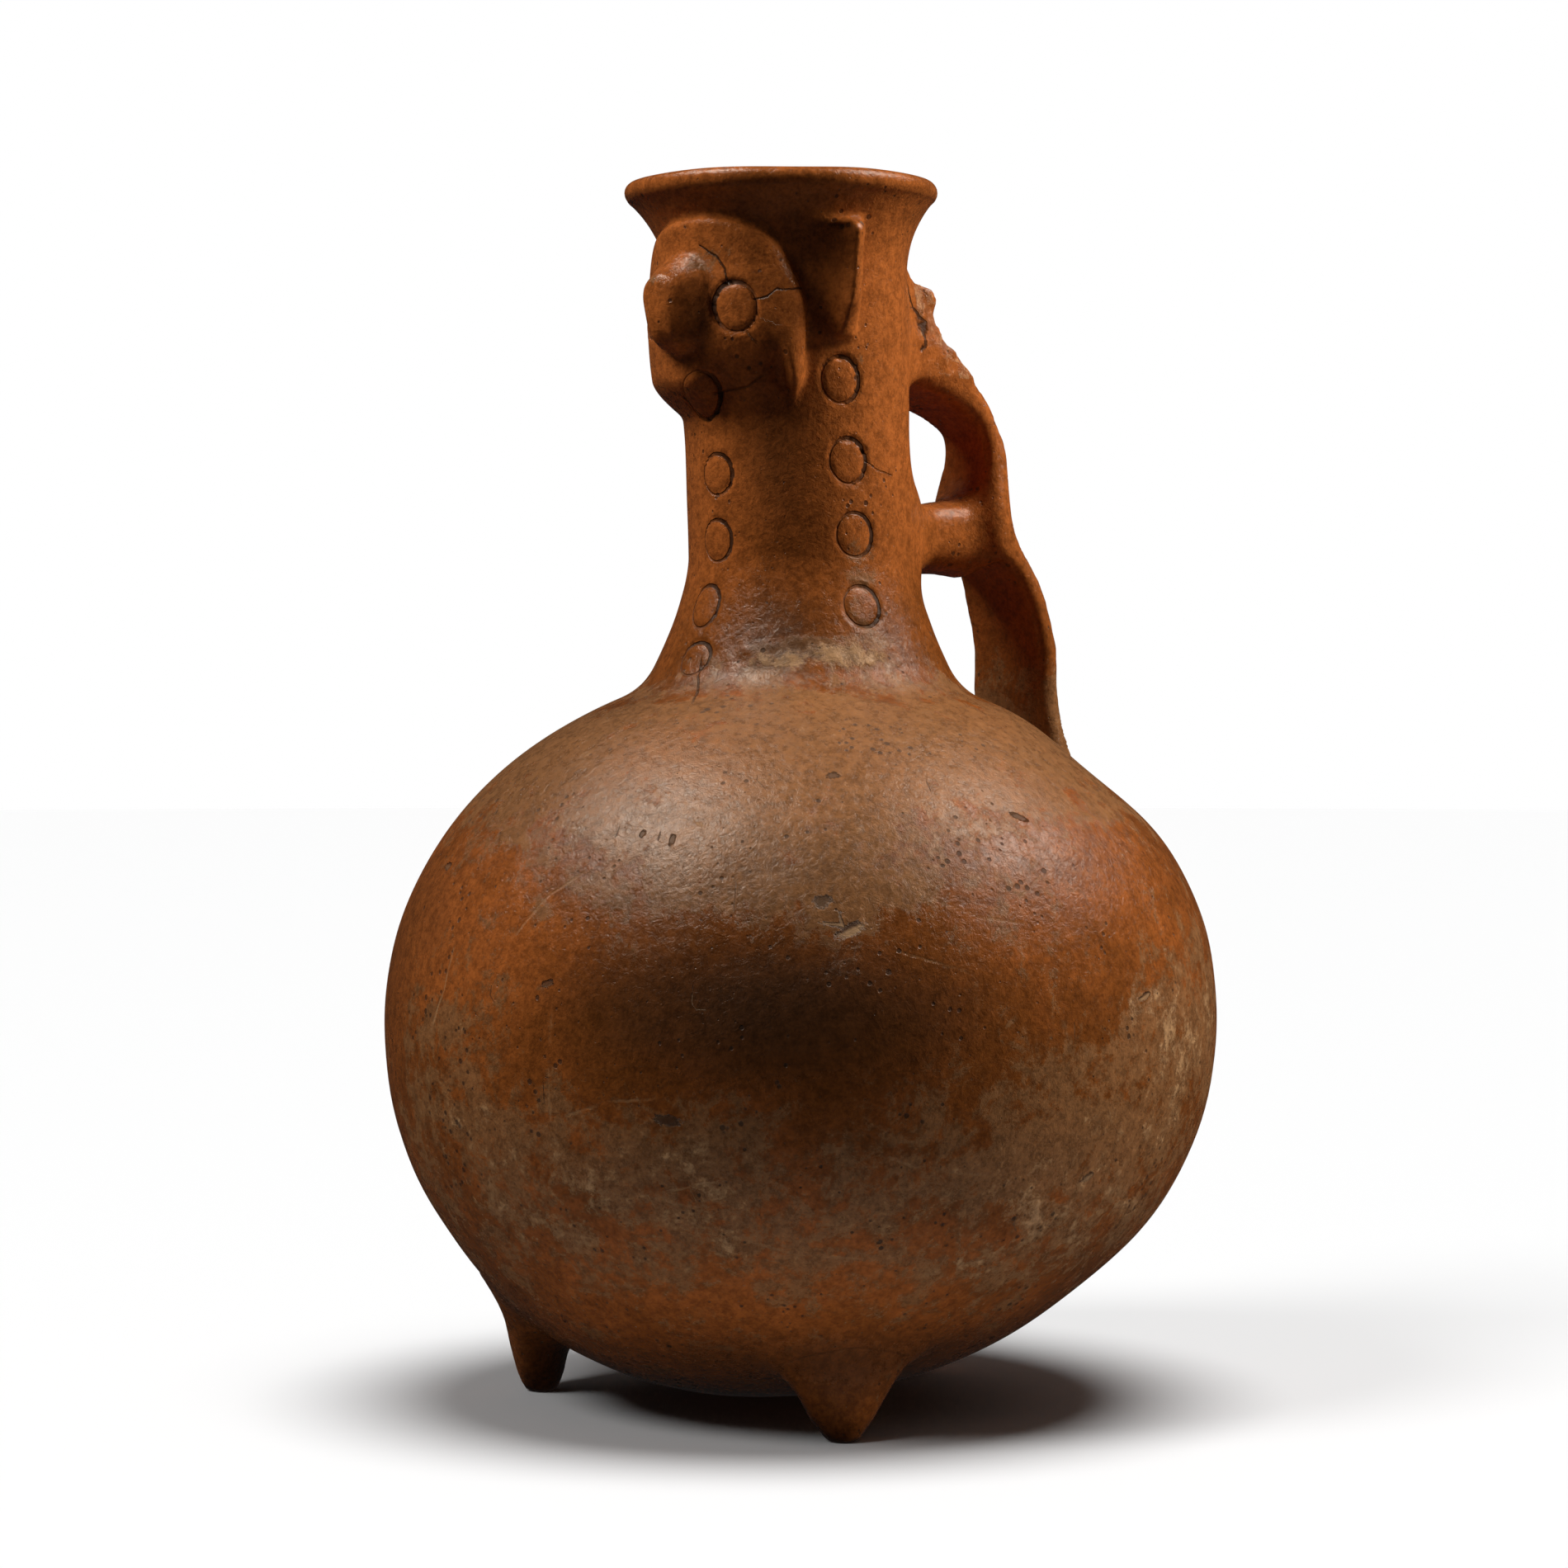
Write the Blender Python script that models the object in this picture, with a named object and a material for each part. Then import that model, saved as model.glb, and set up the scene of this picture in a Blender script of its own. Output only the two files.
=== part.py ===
"""A hand-built terracotta jug: hollow belly on three feet, leaning neck with a raised mask, strap handle.

Metres, +Z up, origin on the floor under the middle of the belly. The face looks along -Y, the handle is +Y.
"""

import math

import bmesh
import bpy

# Driving dimensions, in metres
HEIGHT = 0.350
WALL = 0.006
BELLY_RADIUS = 0.1192
BELLY_WIDEST = 0.110
BELLY_CLEARANCE = 0.003
BELLY_FULLNESS = 2.07
SHOULDER_FULLNESS = 2.03
SHOULDER_TOP = 0.2125
SHOULDER_BLEND = 0.014
BOTTOM_SHIFT_X = -0.006
BOTTOM_SHIFT_Y = -0.0075
NECK_RADIUS = 0.0323
NECK_SET_BACK = 0.0007
NECK_LEAN = 0.0080
NECK_FOOT_FLARE = 0.008
RIM_RADIUS = 0.0448
RIM_FLARE_RADIUS = 0.033
RIM_DROP = 0.0010

MASK_EDGE = 0.0052
MASK_DOME = 0.0035
NOSE_REACH = 0.0178
EAR_REACH = 0.009
STAMP_WIDTH = 0.0130
STAMP_HEIGHT = 0.0150
GROOVE_WIDTH = 0.0022

STRAP_THICKNESS = 0.0058
UPPER_STRAP_WIDTH = 0.0215
LOWER_STRAP_WIDTH = 0.0335
STRAP_TILT = 0.004
UPPER_LOOP_REACH = 0.0360
LOWER_LOOP_REACH = 0.0500
HANDLE_FOOT_RADIUS = 0.0880
BRIDGE_WIDTH = 0.021
STUB_REACH = 0.0135

FOOT_CIRCLE_RADIUS = 0.069
FOOT_TOP_WIDTH = 0.040
FOOT_TOP_DEPTH = 0.020
SOLE_DIAMETER = 0.0072

# Places along the neck, as shares of its length above the shoulder, and angles in degrees from the front
FACE_TURN = 5
NECK_LENGTH = HEIGHT - SHOULDER_TOP
NECK_SLIM_FROM, NECK_SLIM_TO = 0.22, 0.45
MASK_MIDDLE, MASK_RISE, MASK_DROP = 0.708, 0.195, 0.226
MASK_TILT = 0.032
MASK_HALF_ANGLE = 53.5
FOREHEAD_SQUARENESS, JAW_SQUARENESS = 2.1, 3.4
NOSE_MIDDLE, NOSE_ROOT_RISE, NOSE_TIP_RISE = 0.715, 0.100, 0.055
NOSE_ROOT_HALF_WIDTH, NOSE_TIP_HALF_WIDTH = 0.010, 0.003
EAR_TOP, EAR_BOTTOM = 0.905, 0.645
EAR_FRONT_ANGLE, EAR_CREST_ANGLE, EAR_BACK_ANGLE = 62, 78.5, 88
FRONT_STAMPS = ((1.5, 0.384), (0, 0.248), (-3, 0.112), (0, 0.012))
SIDE_STAMPS = ((70, 0.574), (73, 0.409), (75.5, 0.258), (76, 0.112))
EYE_STAMP = (25.5, 0.716)
MOUTH_STAMP = (1, 0.540)
HANDLE_TOP, UPPER_LOOP_MIDDLE, BRIDGE_MIDDLE = 0.66, 0.38, 0.277
BRIDGE_RISE = 0.066
STUB_TOP = 0.805
FEET_TURNS = (69, -51, 197)

AROUND = 42
CLAY_COLOUR = (0.235, 0.082, 0.030, 1.0)
CLAY_ROUGHNESS = 0.5


def smooth_step(share):
    share = min(max(share, 0.0), 1.0)
    return share * share * (3 - 2 * share)


def smooth_max(a, b, blend):
    overlap = max(blend - abs(a - b), 0.0) / blend
    return max(a, b) + overlap * overlap * blend / 4


def up_neck(share):
    """The height at a share of the neck's length."""
    return SHOULDER_TOP + share * NECK_LENGTH


# The turned form: a flattened ball for the belly, and a slim neck that flares at its foot and at the rim

LIP_RADIUS = WALL / 2
FLARE_TURN = math.radians(45)
FLARE_END = HEIGHT - LIP_RADIUS * (1 + math.sin(FLARE_TURN))
FLARE_START = FLARE_END - RIM_FLARE_RADIUS * math.sin(FLARE_TURN)
FLARE_END_RADIUS = RIM_RADIUS - LIP_RADIUS * (1 - math.cos(FLARE_TURN))
NECK_TOP_RADIUS = FLARE_END_RADIUS - RIM_FLARE_RADIUS * (1 - math.cos(FLARE_TURN))


def belly_radius(z, inset=0.0):
    """Radius of the belly at a height, inset by part of the wall."""
    is_shoulder = z > BELLY_WIDEST
    rise = (SHOULDER_TOP - BELLY_WIDEST if is_shoulder else BELLY_WIDEST - BELLY_CLEARANCE) - inset
    fullness = SHOULDER_FULLNESS if is_shoulder else BELLY_FULLNESS
    share = min(abs(z - BELLY_WIDEST) / rise, 1.0)
    return (BELLY_RADIUS - inset) * (1 - share ** fullness) ** (1 / fullness)


def neck_radius(z, inset=0.0):
    slim_from = up_neck(NECK_SLIM_FROM)
    slim_to = up_neck(NECK_SLIM_TO)
    radius = NECK_RADIUS - inset
    if z < slim_from:
        radius += NECK_FOOT_FLARE * ((slim_from - z) / (slim_from - SHOULDER_TOP)) ** 1.5
    if z > slim_to:
        radius += (NECK_TOP_RADIUS - NECK_RADIUS) * smooth_step((z - slim_to) / (FLARE_START - slim_to))
    if z > FLARE_START:
        flare = RIM_FLARE_RADIUS + inset
        climb = min(z - FLARE_START, flare * math.sin(FLARE_TURN))
        radius += flare - math.sqrt(flare * flare - climb * climb)
    return radius


def upper_radius(z, inset=0.0):
    """Radius of the wall anywhere above the widest ring."""
    return smooth_max(belly_radius(z, inset), neck_radius(z, inset), SHOULDER_BLEND)


def axis_shift(z):
    """How far the hand-built form stands off its axis: the neck leans forward, the bottom sags aside."""
    if z < BELLY_WIDEST:
        share = ((BELLY_WIDEST - z) / (BELLY_WIDEST - BELLY_CLEARANCE)) ** 2.2
        return BOTTOM_SHIFT_X * share, BOTTOM_SHIFT_Y * share
    set_back = NECK_SET_BACK * smooth_step((z - BELLY_WIDEST) / (SHOULDER_TOP - BELLY_WIDEST))
    lean = max(z - SHOULDER_TOP, 0.0) / NECK_LENGTH
    return 0.0, set_back - NECK_LEAN * lean * lean


def belly_wall_height(x, y, inset, below):
    """Height of the belly's wall over a point of the plan, on its lower or its upper half."""
    rise = (BELLY_WIDEST - BELLY_CLEARANCE if below else SHOULDER_TOP - BELLY_WIDEST) - inset
    fullness = BELLY_FULLNESS if below else SHOULDER_FULLNESS
    z = BELLY_WIDEST
    for _ in range(12):
        shift_x, shift_y = axis_shift(z)
        share = min(math.hypot(x - shift_x, y - shift_y) / (BELLY_RADIUS - inset), 1.0)
        z = BELLY_WIDEST + (-rise if below else rise) * (1 - share ** fullness) ** (1 / fullness)
    return z


def on_neck(degrees, z, proud):
    """A point proud of the neck's surface, at an angle from the front and a height."""
    angle = math.radians(degrees)
    shift_x, shift_y = axis_shift(z)
    radius = neck_radius(z) + proud
    return shift_x + radius * math.sin(angle), shift_y - radius * math.cos(angle), z


def back_of_neck(x, z, proud):
    """The neck's back surface at a sideways place and a height."""
    radius = neck_radius(z) + proud
    return axis_shift(z)[1] + math.sqrt(radius * radius - x * x)


def superellipse(turn, half_width, half_height, squareness):
    """A point of a rounded rectangle's outline."""
    across = math.copysign(abs(math.cos(turn)) ** (2 / squareness), math.cos(turn))
    up = math.copysign(abs(math.sin(turn)) ** (2 / squareness), math.sin(turn))
    return half_width * across, half_height * up


def turns(count, start=0.0):
    return [start + 2 * math.pi * i / count for i in range(count)]


def loft(name, rings, is_ring=False):
    """A closed solid through rings of equally many points. Its ends are capped, or meet in a ring."""
    mesh = bmesh.new()
    rows = [[mesh.verts.new(point) for point in ring] for ring in rings]
    pairs = list(zip(rows, rows[1:]))
    if is_ring:
        pairs.append((rows[-1], rows[0]))
    else:
        mesh.faces.new(rows[0])
        mesh.faces.new(rows[-1])
    for below, above in pairs:
        for i, vert in enumerate(below):
            j = (i + 1) % len(below)
            mesh.faces.new((vert, below[j], above[j], above[i]))
    bmesh.ops.recalc_face_normals(mesh, faces=mesh.faces)
    data = bpy.data.meshes.new(name)
    mesh.to_mesh(data)
    mesh.free()
    made = bpy.data.objects.new(name, data)
    bpy.context.collection.objects.link(made)
    return made


def ring_at(z, radius):
    """A ring of the wall. Near the rim it dips toward the face."""
    shift_x, shift_y = axis_shift(z)
    dip = RIM_DROP * smooth_step((z - up_neck(0.75)) / (HEIGHT - up_neck(0.75)))
    return [
        (
            shift_x + radius * math.sin(turn),
            shift_y - radius * math.cos(turn),
            z - dip * (1 + math.cos(turn)) / 2,
        )
        for turn in turns(AROUND)
    ]


def body():
    """The hollow body as one wall: up its outside, round the lip, and down its inside."""
    profile = []
    for step in range(1, 10):
        z = BELLY_WIDEST + (BELLY_WIDEST - BELLY_CLEARANCE) * math.sin(math.radians(10 * step - 95))
        profile.append((belly_radius(z), z))
    for step in range(1, 9):
        turn = math.radians(7.5 * step - 3)
        z = BELLY_WIDEST + (SHOULDER_TOP - BELLY_WIDEST) * math.sin(turn)
        profile.append((upper_radius(z), z))
    neck_from = BELLY_WIDEST + (SHOULDER_TOP - BELLY_WIDEST) * 0.9
    neck_rows = 12
    for row in range(neck_rows):
        z = neck_from + (FLARE_START - neck_from) * (row / neck_rows) ** 1.15
        profile.append((upper_radius(z), z))
    for step in range(4):
        climb = math.sin(FLARE_TURN * step / 3) / math.sin(FLARE_TURN)
        z = FLARE_START + (FLARE_END - FLARE_START) * climb
        profile.append((upper_radius(z), z))
    for step in range(1, 5):
        turn = -FLARE_TURN + math.pi * step / 5
        profile.append((
            RIM_RADIUS - LIP_RADIUS + LIP_RADIUS * math.cos(turn),
            HEIGHT - LIP_RADIUS + LIP_RADIUS * math.sin(turn),
        ))
    inner_end = FLARE_END + WALL * math.sin(FLARE_TURN)
    for step in range(4):
        climb = math.sin(FLARE_TURN * (1 - step / 3)) / math.sin(FLARE_TURN)
        z = FLARE_START + (inner_end - FLARE_START) * climb
        profile.append((upper_radius(z, WALL), z))
    inner_rows = 6
    for row in range(1, inner_rows + 1):
        z = FLARE_START + (neck_from - WALL - FLARE_START) * row / inner_rows
        profile.append((upper_radius(z, WALL), z))
    for step in range(1, 12):
        turn = math.radians(60 - 13.3 * step)
        rise = SHOULDER_TOP - BELLY_WIDEST if turn > 0 else BELLY_WIDEST - BELLY_CLEARANCE
        z = BELLY_WIDEST + (rise - WALL) * math.sin(turn)
        radius = upper_radius(z, WALL) if turn > 0 else belly_radius(z, WALL)
        profile.append((radius, z))
    return loft("jug", [ring_at(z, radius) for radius, z in profile])


def mask_outline(turn, share):
    """Angle and height of a point of the mask, at a share of the way from its middle to its edge."""
    squareness = FOREHEAD_SQUARENESS if math.sin(turn) > 0 else JAW_SQUARENESS
    across, up = superellipse(turn, 1, 1, squareness)
    up *= MASK_RISE + MASK_TILT * across if up > 0 else MASK_DROP
    return FACE_TURN + MASK_HALF_ANGLE * across * share, up_neck(MASK_MIDDLE + up * share)


def mask_proud(share, z):
    """How far the mask stands out: it leans back at the forehead, and its edge dies away under the chin."""
    up = (z - up_neck(MASK_MIDDLE)) / (MASK_RISE * NECK_LENGTH)
    chin = smooth_step((z - up_neck(MASK_MIDDLE - MASK_DROP)) / (0.10 * NECK_LENGTH))
    return MASK_EDGE * chin * (1 - 0.35 * up) + MASK_DOME * (1 - share * share)


def mask():
    rings = []
    for share in (0.08, 0.3, 0.55, 0.78, 0.93, 1.0):
        ring = []
        for turn in turns(28):
            degrees, z = mask_outline(turn, share)
            round_over = 0.3 * MASK_EDGE if share == 1.0 else 0.0
            ring.append(on_neck(degrees, z, mask_proud(share, z) - round_over))
        rings.append(ring)
    for share in (1.0, 0.5, 0.08):
        rings.append([on_neck(*mask_outline(turn, share), -WALL / 2) for turn in turns(28)])
    return loft("mask", rings)


def nose():
    """A pinched wedge: broad where it leaves the mask, blunt at its tip."""
    rings = []
    root = MASK_EDGE + MASK_DOME - 0.001
    stations = ((-WALL / 2, 0.0), (root, 0.0), (root, 0.30), (NOSE_REACH, 0.8), (NOSE_REACH, 1.0))
    for (proud, share), out in zip(stations, (0, 0, 0.45, 0.86, 1.0)):
        reach = proud if out == 0 else root + (NOSE_REACH - root) * out
        narrow = share if out else 0.0
        half_width = NOSE_ROOT_HALF_WIDTH + (NOSE_TIP_HALF_WIDTH - NOSE_ROOT_HALF_WIDTH) * narrow
        rise = NECK_LENGTH * (NOSE_ROOT_RISE + (NOSE_TIP_RISE - NOSE_ROOT_RISE) * narrow)
        ring = []
        for turn in turns(14):
            across, up = superellipse(turn, half_width, rise, 2.4)
            z = up_neck(NOSE_MIDDLE) + up
            distance = neck_radius(z) + reach
            angle = math.radians(FACE_TURN)
            ring.append((
                distance * math.sin(angle) + across * math.cos(angle),
                axis_shift(z)[1] - distance * math.cos(angle) + across * math.sin(angle),
                z,
            ))
        rings.append(ring)
    return loft("nose", rings)


def ear(side):
    """A cupped plate: its front sweeps out of the neck to a thin crest, its back drops straight down."""
    rings = []
    for share, reach, narrow in (
        (0, 0.10, 0.9),
        (0.12, 0.45, 0.7),
        (0.3, 0.82, 0.45),
        (0.55, 1, 0.15),
        (1, 1, 0),
    ):
        z = up_neck(EAR_BOTTOM + (EAR_TOP - EAR_BOTTOM) * share)
        front = EAR_FRONT_ANGLE + 7 * narrow
        crest = EAR_CREST_ANGLE - 6 * narrow
        back = EAR_BACK_ANGLE - 5 * narrow
        proud = EAR_REACH * reach
        section = (
            (front, -WALL / 2),
            (front, 0.0),
            ((front + crest) / 2, 0.35 * proud),
            (crest - 2.5, 0.85 * proud),
            (crest, proud),
            (crest + 3, 0.9 * proud),
            (back, 0.25 * proud),
            (back + 1, -WALL / 2),
        )
        rings.append([on_neck(side * degrees, z, out) for degrees, out in section])
    return loft("ear", rings)


def stamp(degrees, share, proud):
    """The ring that a cut reed left: an oval tube along the surface, which stands proud of the neck."""
    rings = []
    middle = up_neck(share)
    for turn in turns(14):
        across, up = superellipse(turn, STAMP_WIDTH / 2, STAMP_HEIGHT / 2, 2)
        z = middle + up
        ring = []
        for around in turns(5):
            out = GROOVE_WIDTH / 2 * math.cos(around)
            grow = 1 + GROOVE_WIDTH / STAMP_WIDTH * math.sin(around)
            bend = math.degrees(across * grow / (neck_radius(middle) + proud(degrees, middle)))
            lift = proud(degrees + bend, z)
            ring.append(on_neck(FACE_TURN + degrees + bend, middle + up * grow, lift + out))
        rings.append(ring)
    return loft("stamp", rings, is_ring=True)


def proud_of_mask(degrees, z):
    """Height of the mask's surface over the neck, at an angle from its own middle."""
    across = degrees / MASK_HALF_ANGLE
    up = (z - up_neck(MASK_MIDDLE)) / NECK_LENGTH
    squareness = FOREHEAD_SQUARENESS if up > 0 else JAW_SQUARENESS
    up /= MASK_RISE + MASK_TILT * across if up > 0 else MASK_DROP
    share = (abs(across) ** squareness + abs(up) ** squareness) ** (1 / squareness)
    return mask_proud(share, z) if share < 1 else 0.0


def proud_of_foot(degrees, z):
    """Height of the soft corner where the neck spreads onto the shoulder, over the neck."""
    return upper_radius(z) - neck_radius(z)


def stamps():
    made = []
    for side in (-1, 1):
        made.append(stamp(side * EYE_STAMP[0], EYE_STAMP[1], proud_of_mask))
        made += [stamp(side * degrees, share, proud_of_foot) for degrees, share in SIDE_STAMPS]
    made.append(stamp(*MOUTH_STAMP, proud_of_mask))
    made += [stamp(degrees, share, proud_of_foot) for degrees, share in FRONT_STAMPS]
    return made


def curve_through(points, steps):
    """A smooth curve through points with any number of values each."""
    ends = [tuple(2 * a - b for a, b in zip(points[0], points[1]))]
    tails = [tuple(2 * a - b for a, b in zip(points[-1], points[-2]))]
    spread = ends + list(points) + tails
    found = []
    for before, start, end, after in zip(spread, spread[1:], spread[2:], spread[3:]):
        for step in range(steps):
            t = step / steps
            point = []
            for a, b, c, d in zip(before, start, end, after):
                bend = (2 * a - 5 * b + 4 * c - d) * t ** 2 + (3 * b - a - 3 * c + d) * t ** 3
                point.append(0.5 * (2 * b + (c - a) * t + bend))
            found.append(tuple(point))
    found.append(tuple(points[-1]))
    return found


def strap_line():
    """The strap's middle line in the plane of the handle: (y, z, width, thickness) at each point."""
    slim = neck_radius(up_neck(NECK_SLIM_TO))
    top = up_neck(HANDLE_TOP)
    loop = up_neck(UPPER_LOOP_MIDDLE)
    bridge = up_neck(BRIDGE_MIDDLE)
    foot_z = belly_wall_height(0, HANDLE_FOOT_RADIUS, WALL / 2, below=False)
    fall = bridge - foot_z
    upper, lower = UPPER_STRAP_WIDTH, LOWER_STRAP_WIDTH
    thick = STRAP_THICKNESS
    return curve_through((
        (back_of_neck(0, top, -WALL / 2), top - 0.0045, upper * 1.1, thick * 2.2),
        (slim + 0.42 * UPPER_LOOP_REACH, top - 0.18 * (top - loop), upper, thick * 1.8),
        (slim + 0.86 * UPPER_LOOP_REACH, loop + 0.50 * (top - loop), upper, thick * 1.1),
        (slim + UPPER_LOOP_REACH, loop, upper, thick),
        (slim + 1.03 * UPPER_LOOP_REACH, bridge, 0.5 * (upper + lower) - 0.003, thick),
        (slim + 0.89 * LOWER_LOOP_REACH, bridge - 0.2 * fall, 0.9 * lower, thick),
        (slim + 1.00 * LOWER_LOOP_REACH, bridge - 0.46 * fall, lower, thick),
        (slim + 1.02 * LOWER_LOOP_REACH, bridge - 0.7 * fall, lower, thick),
        (HANDLE_FOOT_RADIUS, foot_z, lower * 1.15, thick * 1.3),
    ), 3)


def strap():
    """The strap along its line. Its arch leans: the side nearer the right ear stands higher."""
    line = strap_line()
    arch = up_neck(NECK_SLIM_TO)
    rings = []
    for i, (y, z, width, thickness) in enumerate(line):
        tilt = STRAP_TILT * smooth_step((z - arch) / (up_neck(HANDLE_TOP) - arch))
        before, after = line[max(i - 1, 0)], line[min(i + 1, len(line) - 1)]
        run_y, run_z = after[0] - before[0], after[1] - before[1]
        length = math.hypot(run_y, run_z)
        ring = []
        for turn in turns(10, math.pi / 10):
            across, out = superellipse(turn, width / 2, thickness / 2, 3)
            lift = tilt * across / (width / 2)
            ring.append([across, y + out * run_z / length, z - out * run_y / length + lift])
        rings.append(ring)
    for point in rings[0]:
        point[1] = back_of_neck(point[0], point[2], -WALL / 2)
    for point in rings[-1]:
        point[2] = belly_wall_height(point[0], point[1], WALL / 2, below=False)
    return loft("strap", rings)


def bridge():
    """The web of clay between the two loops, from the neck to the strap, smeared out at both of its ends."""
    middle = up_neck(BRIDGE_MIDDLE)
    end = neck_radius(up_neck(NECK_SLIM_TO)) + 1.02 * UPPER_LOOP_REACH
    rings = []
    for share, wide, above, below in (
        (0, 1.6, 1.3, 2.0),
        (0.14, 1.25, 1.1, 1.45),
        (0.35, 1.0, 0.95, 1.0),
        (0.65, 0.95, 1.0, 0.95),
        (0.85, 1.0, 1.5, 1.1),
        (1, 1.0, 2.3, 1.3),
    ):
        ring = []
        for turn in turns(12):
            spread = above if math.sin(turn) > 0 else below
            half_height = BRIDGE_RISE * NECK_LENGTH * spread
            across, up = superellipse(turn, wide * BRIDGE_WIDTH / 2, half_height, 2.6)
            start = back_of_neck(across, middle + up, -WALL / 2)
            ring.append((across, start + (end - start) * share, middle + up))
        rings.append(ring)
    return loft("bridge", rings)


def stub():
    """What is left of a strap that broke off above the upper loop."""
    top = up_neck(STUB_TOP)
    foot = up_neck(HANDLE_TOP) - 0.004
    rings = []
    for share, out, half_width in (
        (0, 1.7, 0.0095),
        (0.25, 1.30, 0.009),
        (0.42, 1.0, 0.0085),
        (0.75, 0.95, 0.008),
        (0.92, 0.7, 0.007),
        (1, 0.35, 0.005),
    ):
        z = foot + (top - foot) * share
        section = ((-1, 0), (-1, 0.72), (-0.6, 1), (0.6, 1), (1, 0.72), (1, 0))
        ring = []
        for across, reach in section:
            x = across * half_width
            start = back_of_neck(x, z, -WALL / 2)
            ring.append((x, start + (WALL / 2 + STUB_REACH * out) * reach, z))
        rings.append(ring)
    return loft("stub", rings)


def foot(turn):
    """A flattened cone: broad along the belly, thin across, with a small flat sole."""
    shift_x, shift_y = axis_shift(BELLY_CLEARANCE + WALL)
    out_x, out_y = math.sin(turn), -math.cos(turn)
    rings = []
    for share, grow in ((0, 0), (0.03, 0.06), (0.25, 0.32), (0.46, 0.5), (0.7, 0.72), (1, 1)):
        half_width = (SOLE_DIAMETER + (FOOT_TOP_WIDTH - SOLE_DIAMETER) * grow) / 2
        half_depth = (SOLE_DIAMETER + (FOOT_TOP_DEPTH - SOLE_DIAMETER) * grow ** 0.6) / 2
        ring = []
        for around in turns(14):
            across, out = superellipse(around, half_width, half_depth, 2)
            distance = FOOT_CIRCLE_RADIUS + out
            x = shift_x + distance * out_x - across * out_y
            y = shift_y + distance * out_y + across * out_x
            ring.append((x, y, share * belly_wall_height(x, y, 0.4 * WALL, below=True)))
        rings.append(ring)
    return loft("foot", rings)


def clay():
    material = bpy.data.materials.new("terracotta")
    material.use_nodes = True
    surface = material.node_tree.nodes["Principled BSDF"]
    surface.inputs["Base Color"].default_value = CLAY_COLOUR
    surface.inputs["Roughness"].default_value = CLAY_ROUGHNESS
    surface.inputs["Metallic"].default_value = 0.0
    return material


def join(jug, helpers, operation):
    for helper in helpers:
        helper.hide_render = True
        helper.display_type = "WIRE"
        helper.parent = jug
        modifier = jug.modifiers.new(helper.name, "BOOLEAN")
        modifier.operation = operation
        modifier.solver = "EXACT"
        modifier.object = helper


for old in list(bpy.data.objects):
    bpy.data.objects.remove(old, do_unlink=True)

jug = body()
feet = [foot(math.radians(degrees)) for degrees in FEET_TURNS]
added = [mask(), nose(), ear(1), ear(-1), stub(), bridge(), strap()] + feet
join(jug, added, "UNION")
join(jug, stamps(), "DIFFERENCE")
jug.data.materials.append(clay())
jug.data.shade_smooth()
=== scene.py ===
import math

import bmesh
import bpy
import numpy as np
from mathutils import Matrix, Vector


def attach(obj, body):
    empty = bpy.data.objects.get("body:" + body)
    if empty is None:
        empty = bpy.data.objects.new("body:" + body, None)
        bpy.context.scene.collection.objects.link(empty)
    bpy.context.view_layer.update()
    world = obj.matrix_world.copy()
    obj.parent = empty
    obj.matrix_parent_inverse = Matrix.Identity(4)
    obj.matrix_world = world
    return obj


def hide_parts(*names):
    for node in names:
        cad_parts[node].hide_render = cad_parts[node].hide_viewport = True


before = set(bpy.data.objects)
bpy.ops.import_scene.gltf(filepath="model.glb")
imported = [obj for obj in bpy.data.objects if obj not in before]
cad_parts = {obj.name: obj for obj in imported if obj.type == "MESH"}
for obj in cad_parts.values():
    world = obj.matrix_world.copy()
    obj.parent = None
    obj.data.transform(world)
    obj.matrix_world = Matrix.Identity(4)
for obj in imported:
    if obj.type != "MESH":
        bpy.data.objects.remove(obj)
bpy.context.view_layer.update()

# The jug's body: one hollow form of coarse red clay, a round belly and a slim neck that leans
# forward, built up by hand in coils and burnished outside with a pebble before it was fired.
# All sizes are in millimetres. The face looks along -Y, the handle is at +Y.

HEIGHT = 350.0
WALL = 6.0
BELLY_RADIUS = 119.2
BELLY_WIDEST = 110.0
BELLY_BOTTOM = 3.0
SHOULDER_TOP = 212.5
BELLY_RISE = SHOULDER_TOP - BELLY_WIDEST
BELLY_DROP = BELLY_WIDEST - BELLY_BOTTOM
# How full the belly's profile is above and below its widest ring, where 2 is an ellipse
SHOULDER_FULLNESS, BOTTOM_FULLNESS = 2.03, 2.07
NECK_RADIUS = 32.3
NECK_LENGTH = HEIGHT - SHOULDER_TOP
NECK_LEAN = 8.0
NECK_SET_BACK = 0.7
NECK_CUT = 185.0
BOTTOM_SAG = (-6.0, -7.5)
SLIM_FROM = SHOULDER_TOP + 0.22 * NECK_LENGTH
SLIM_TO = SHOULDER_TOP + 0.45 * NECK_LENGTH
NECK_FOOT_FLARE = 9.5
NECK_FOOT_BLEND = 5.5

RIM_RADIUS = 44.8
RIM_FLARE = 33.0
RIM_DROP, RIM_DROP_FROM = 0.8, 316.0
LIP_RADIUS = WALL / 2
LIP_MIDDLE = (RIM_RADIUS - LIP_RADIUS, HEIGHT - LIP_RADIUS)
FLARE_TURN = math.radians(45)
FLARE_END = HEIGHT - LIP_RADIUS * (1 + math.sin(FLARE_TURN))
FLARE_START = FLARE_END - RIM_FLARE * math.sin(FLARE_TURN)
NECK_TOP_RADIUS = RIM_RADIUS - (LIP_RADIUS + RIM_FLARE) * (1 - math.cos(FLARE_TURN))

# Places where the hand-built wall stands off the turned form:
# angle from the front, height, half width in degrees, half height, how far it stands out
SWELLINGS = (
    (-38, 45, 60, 25, -1.8),
    (142, 33, 50, 15, -1.5),
    (142, 182, 40, 12, -2.6),
    (142, 145, 40, 25, 0.9),
)
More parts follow.
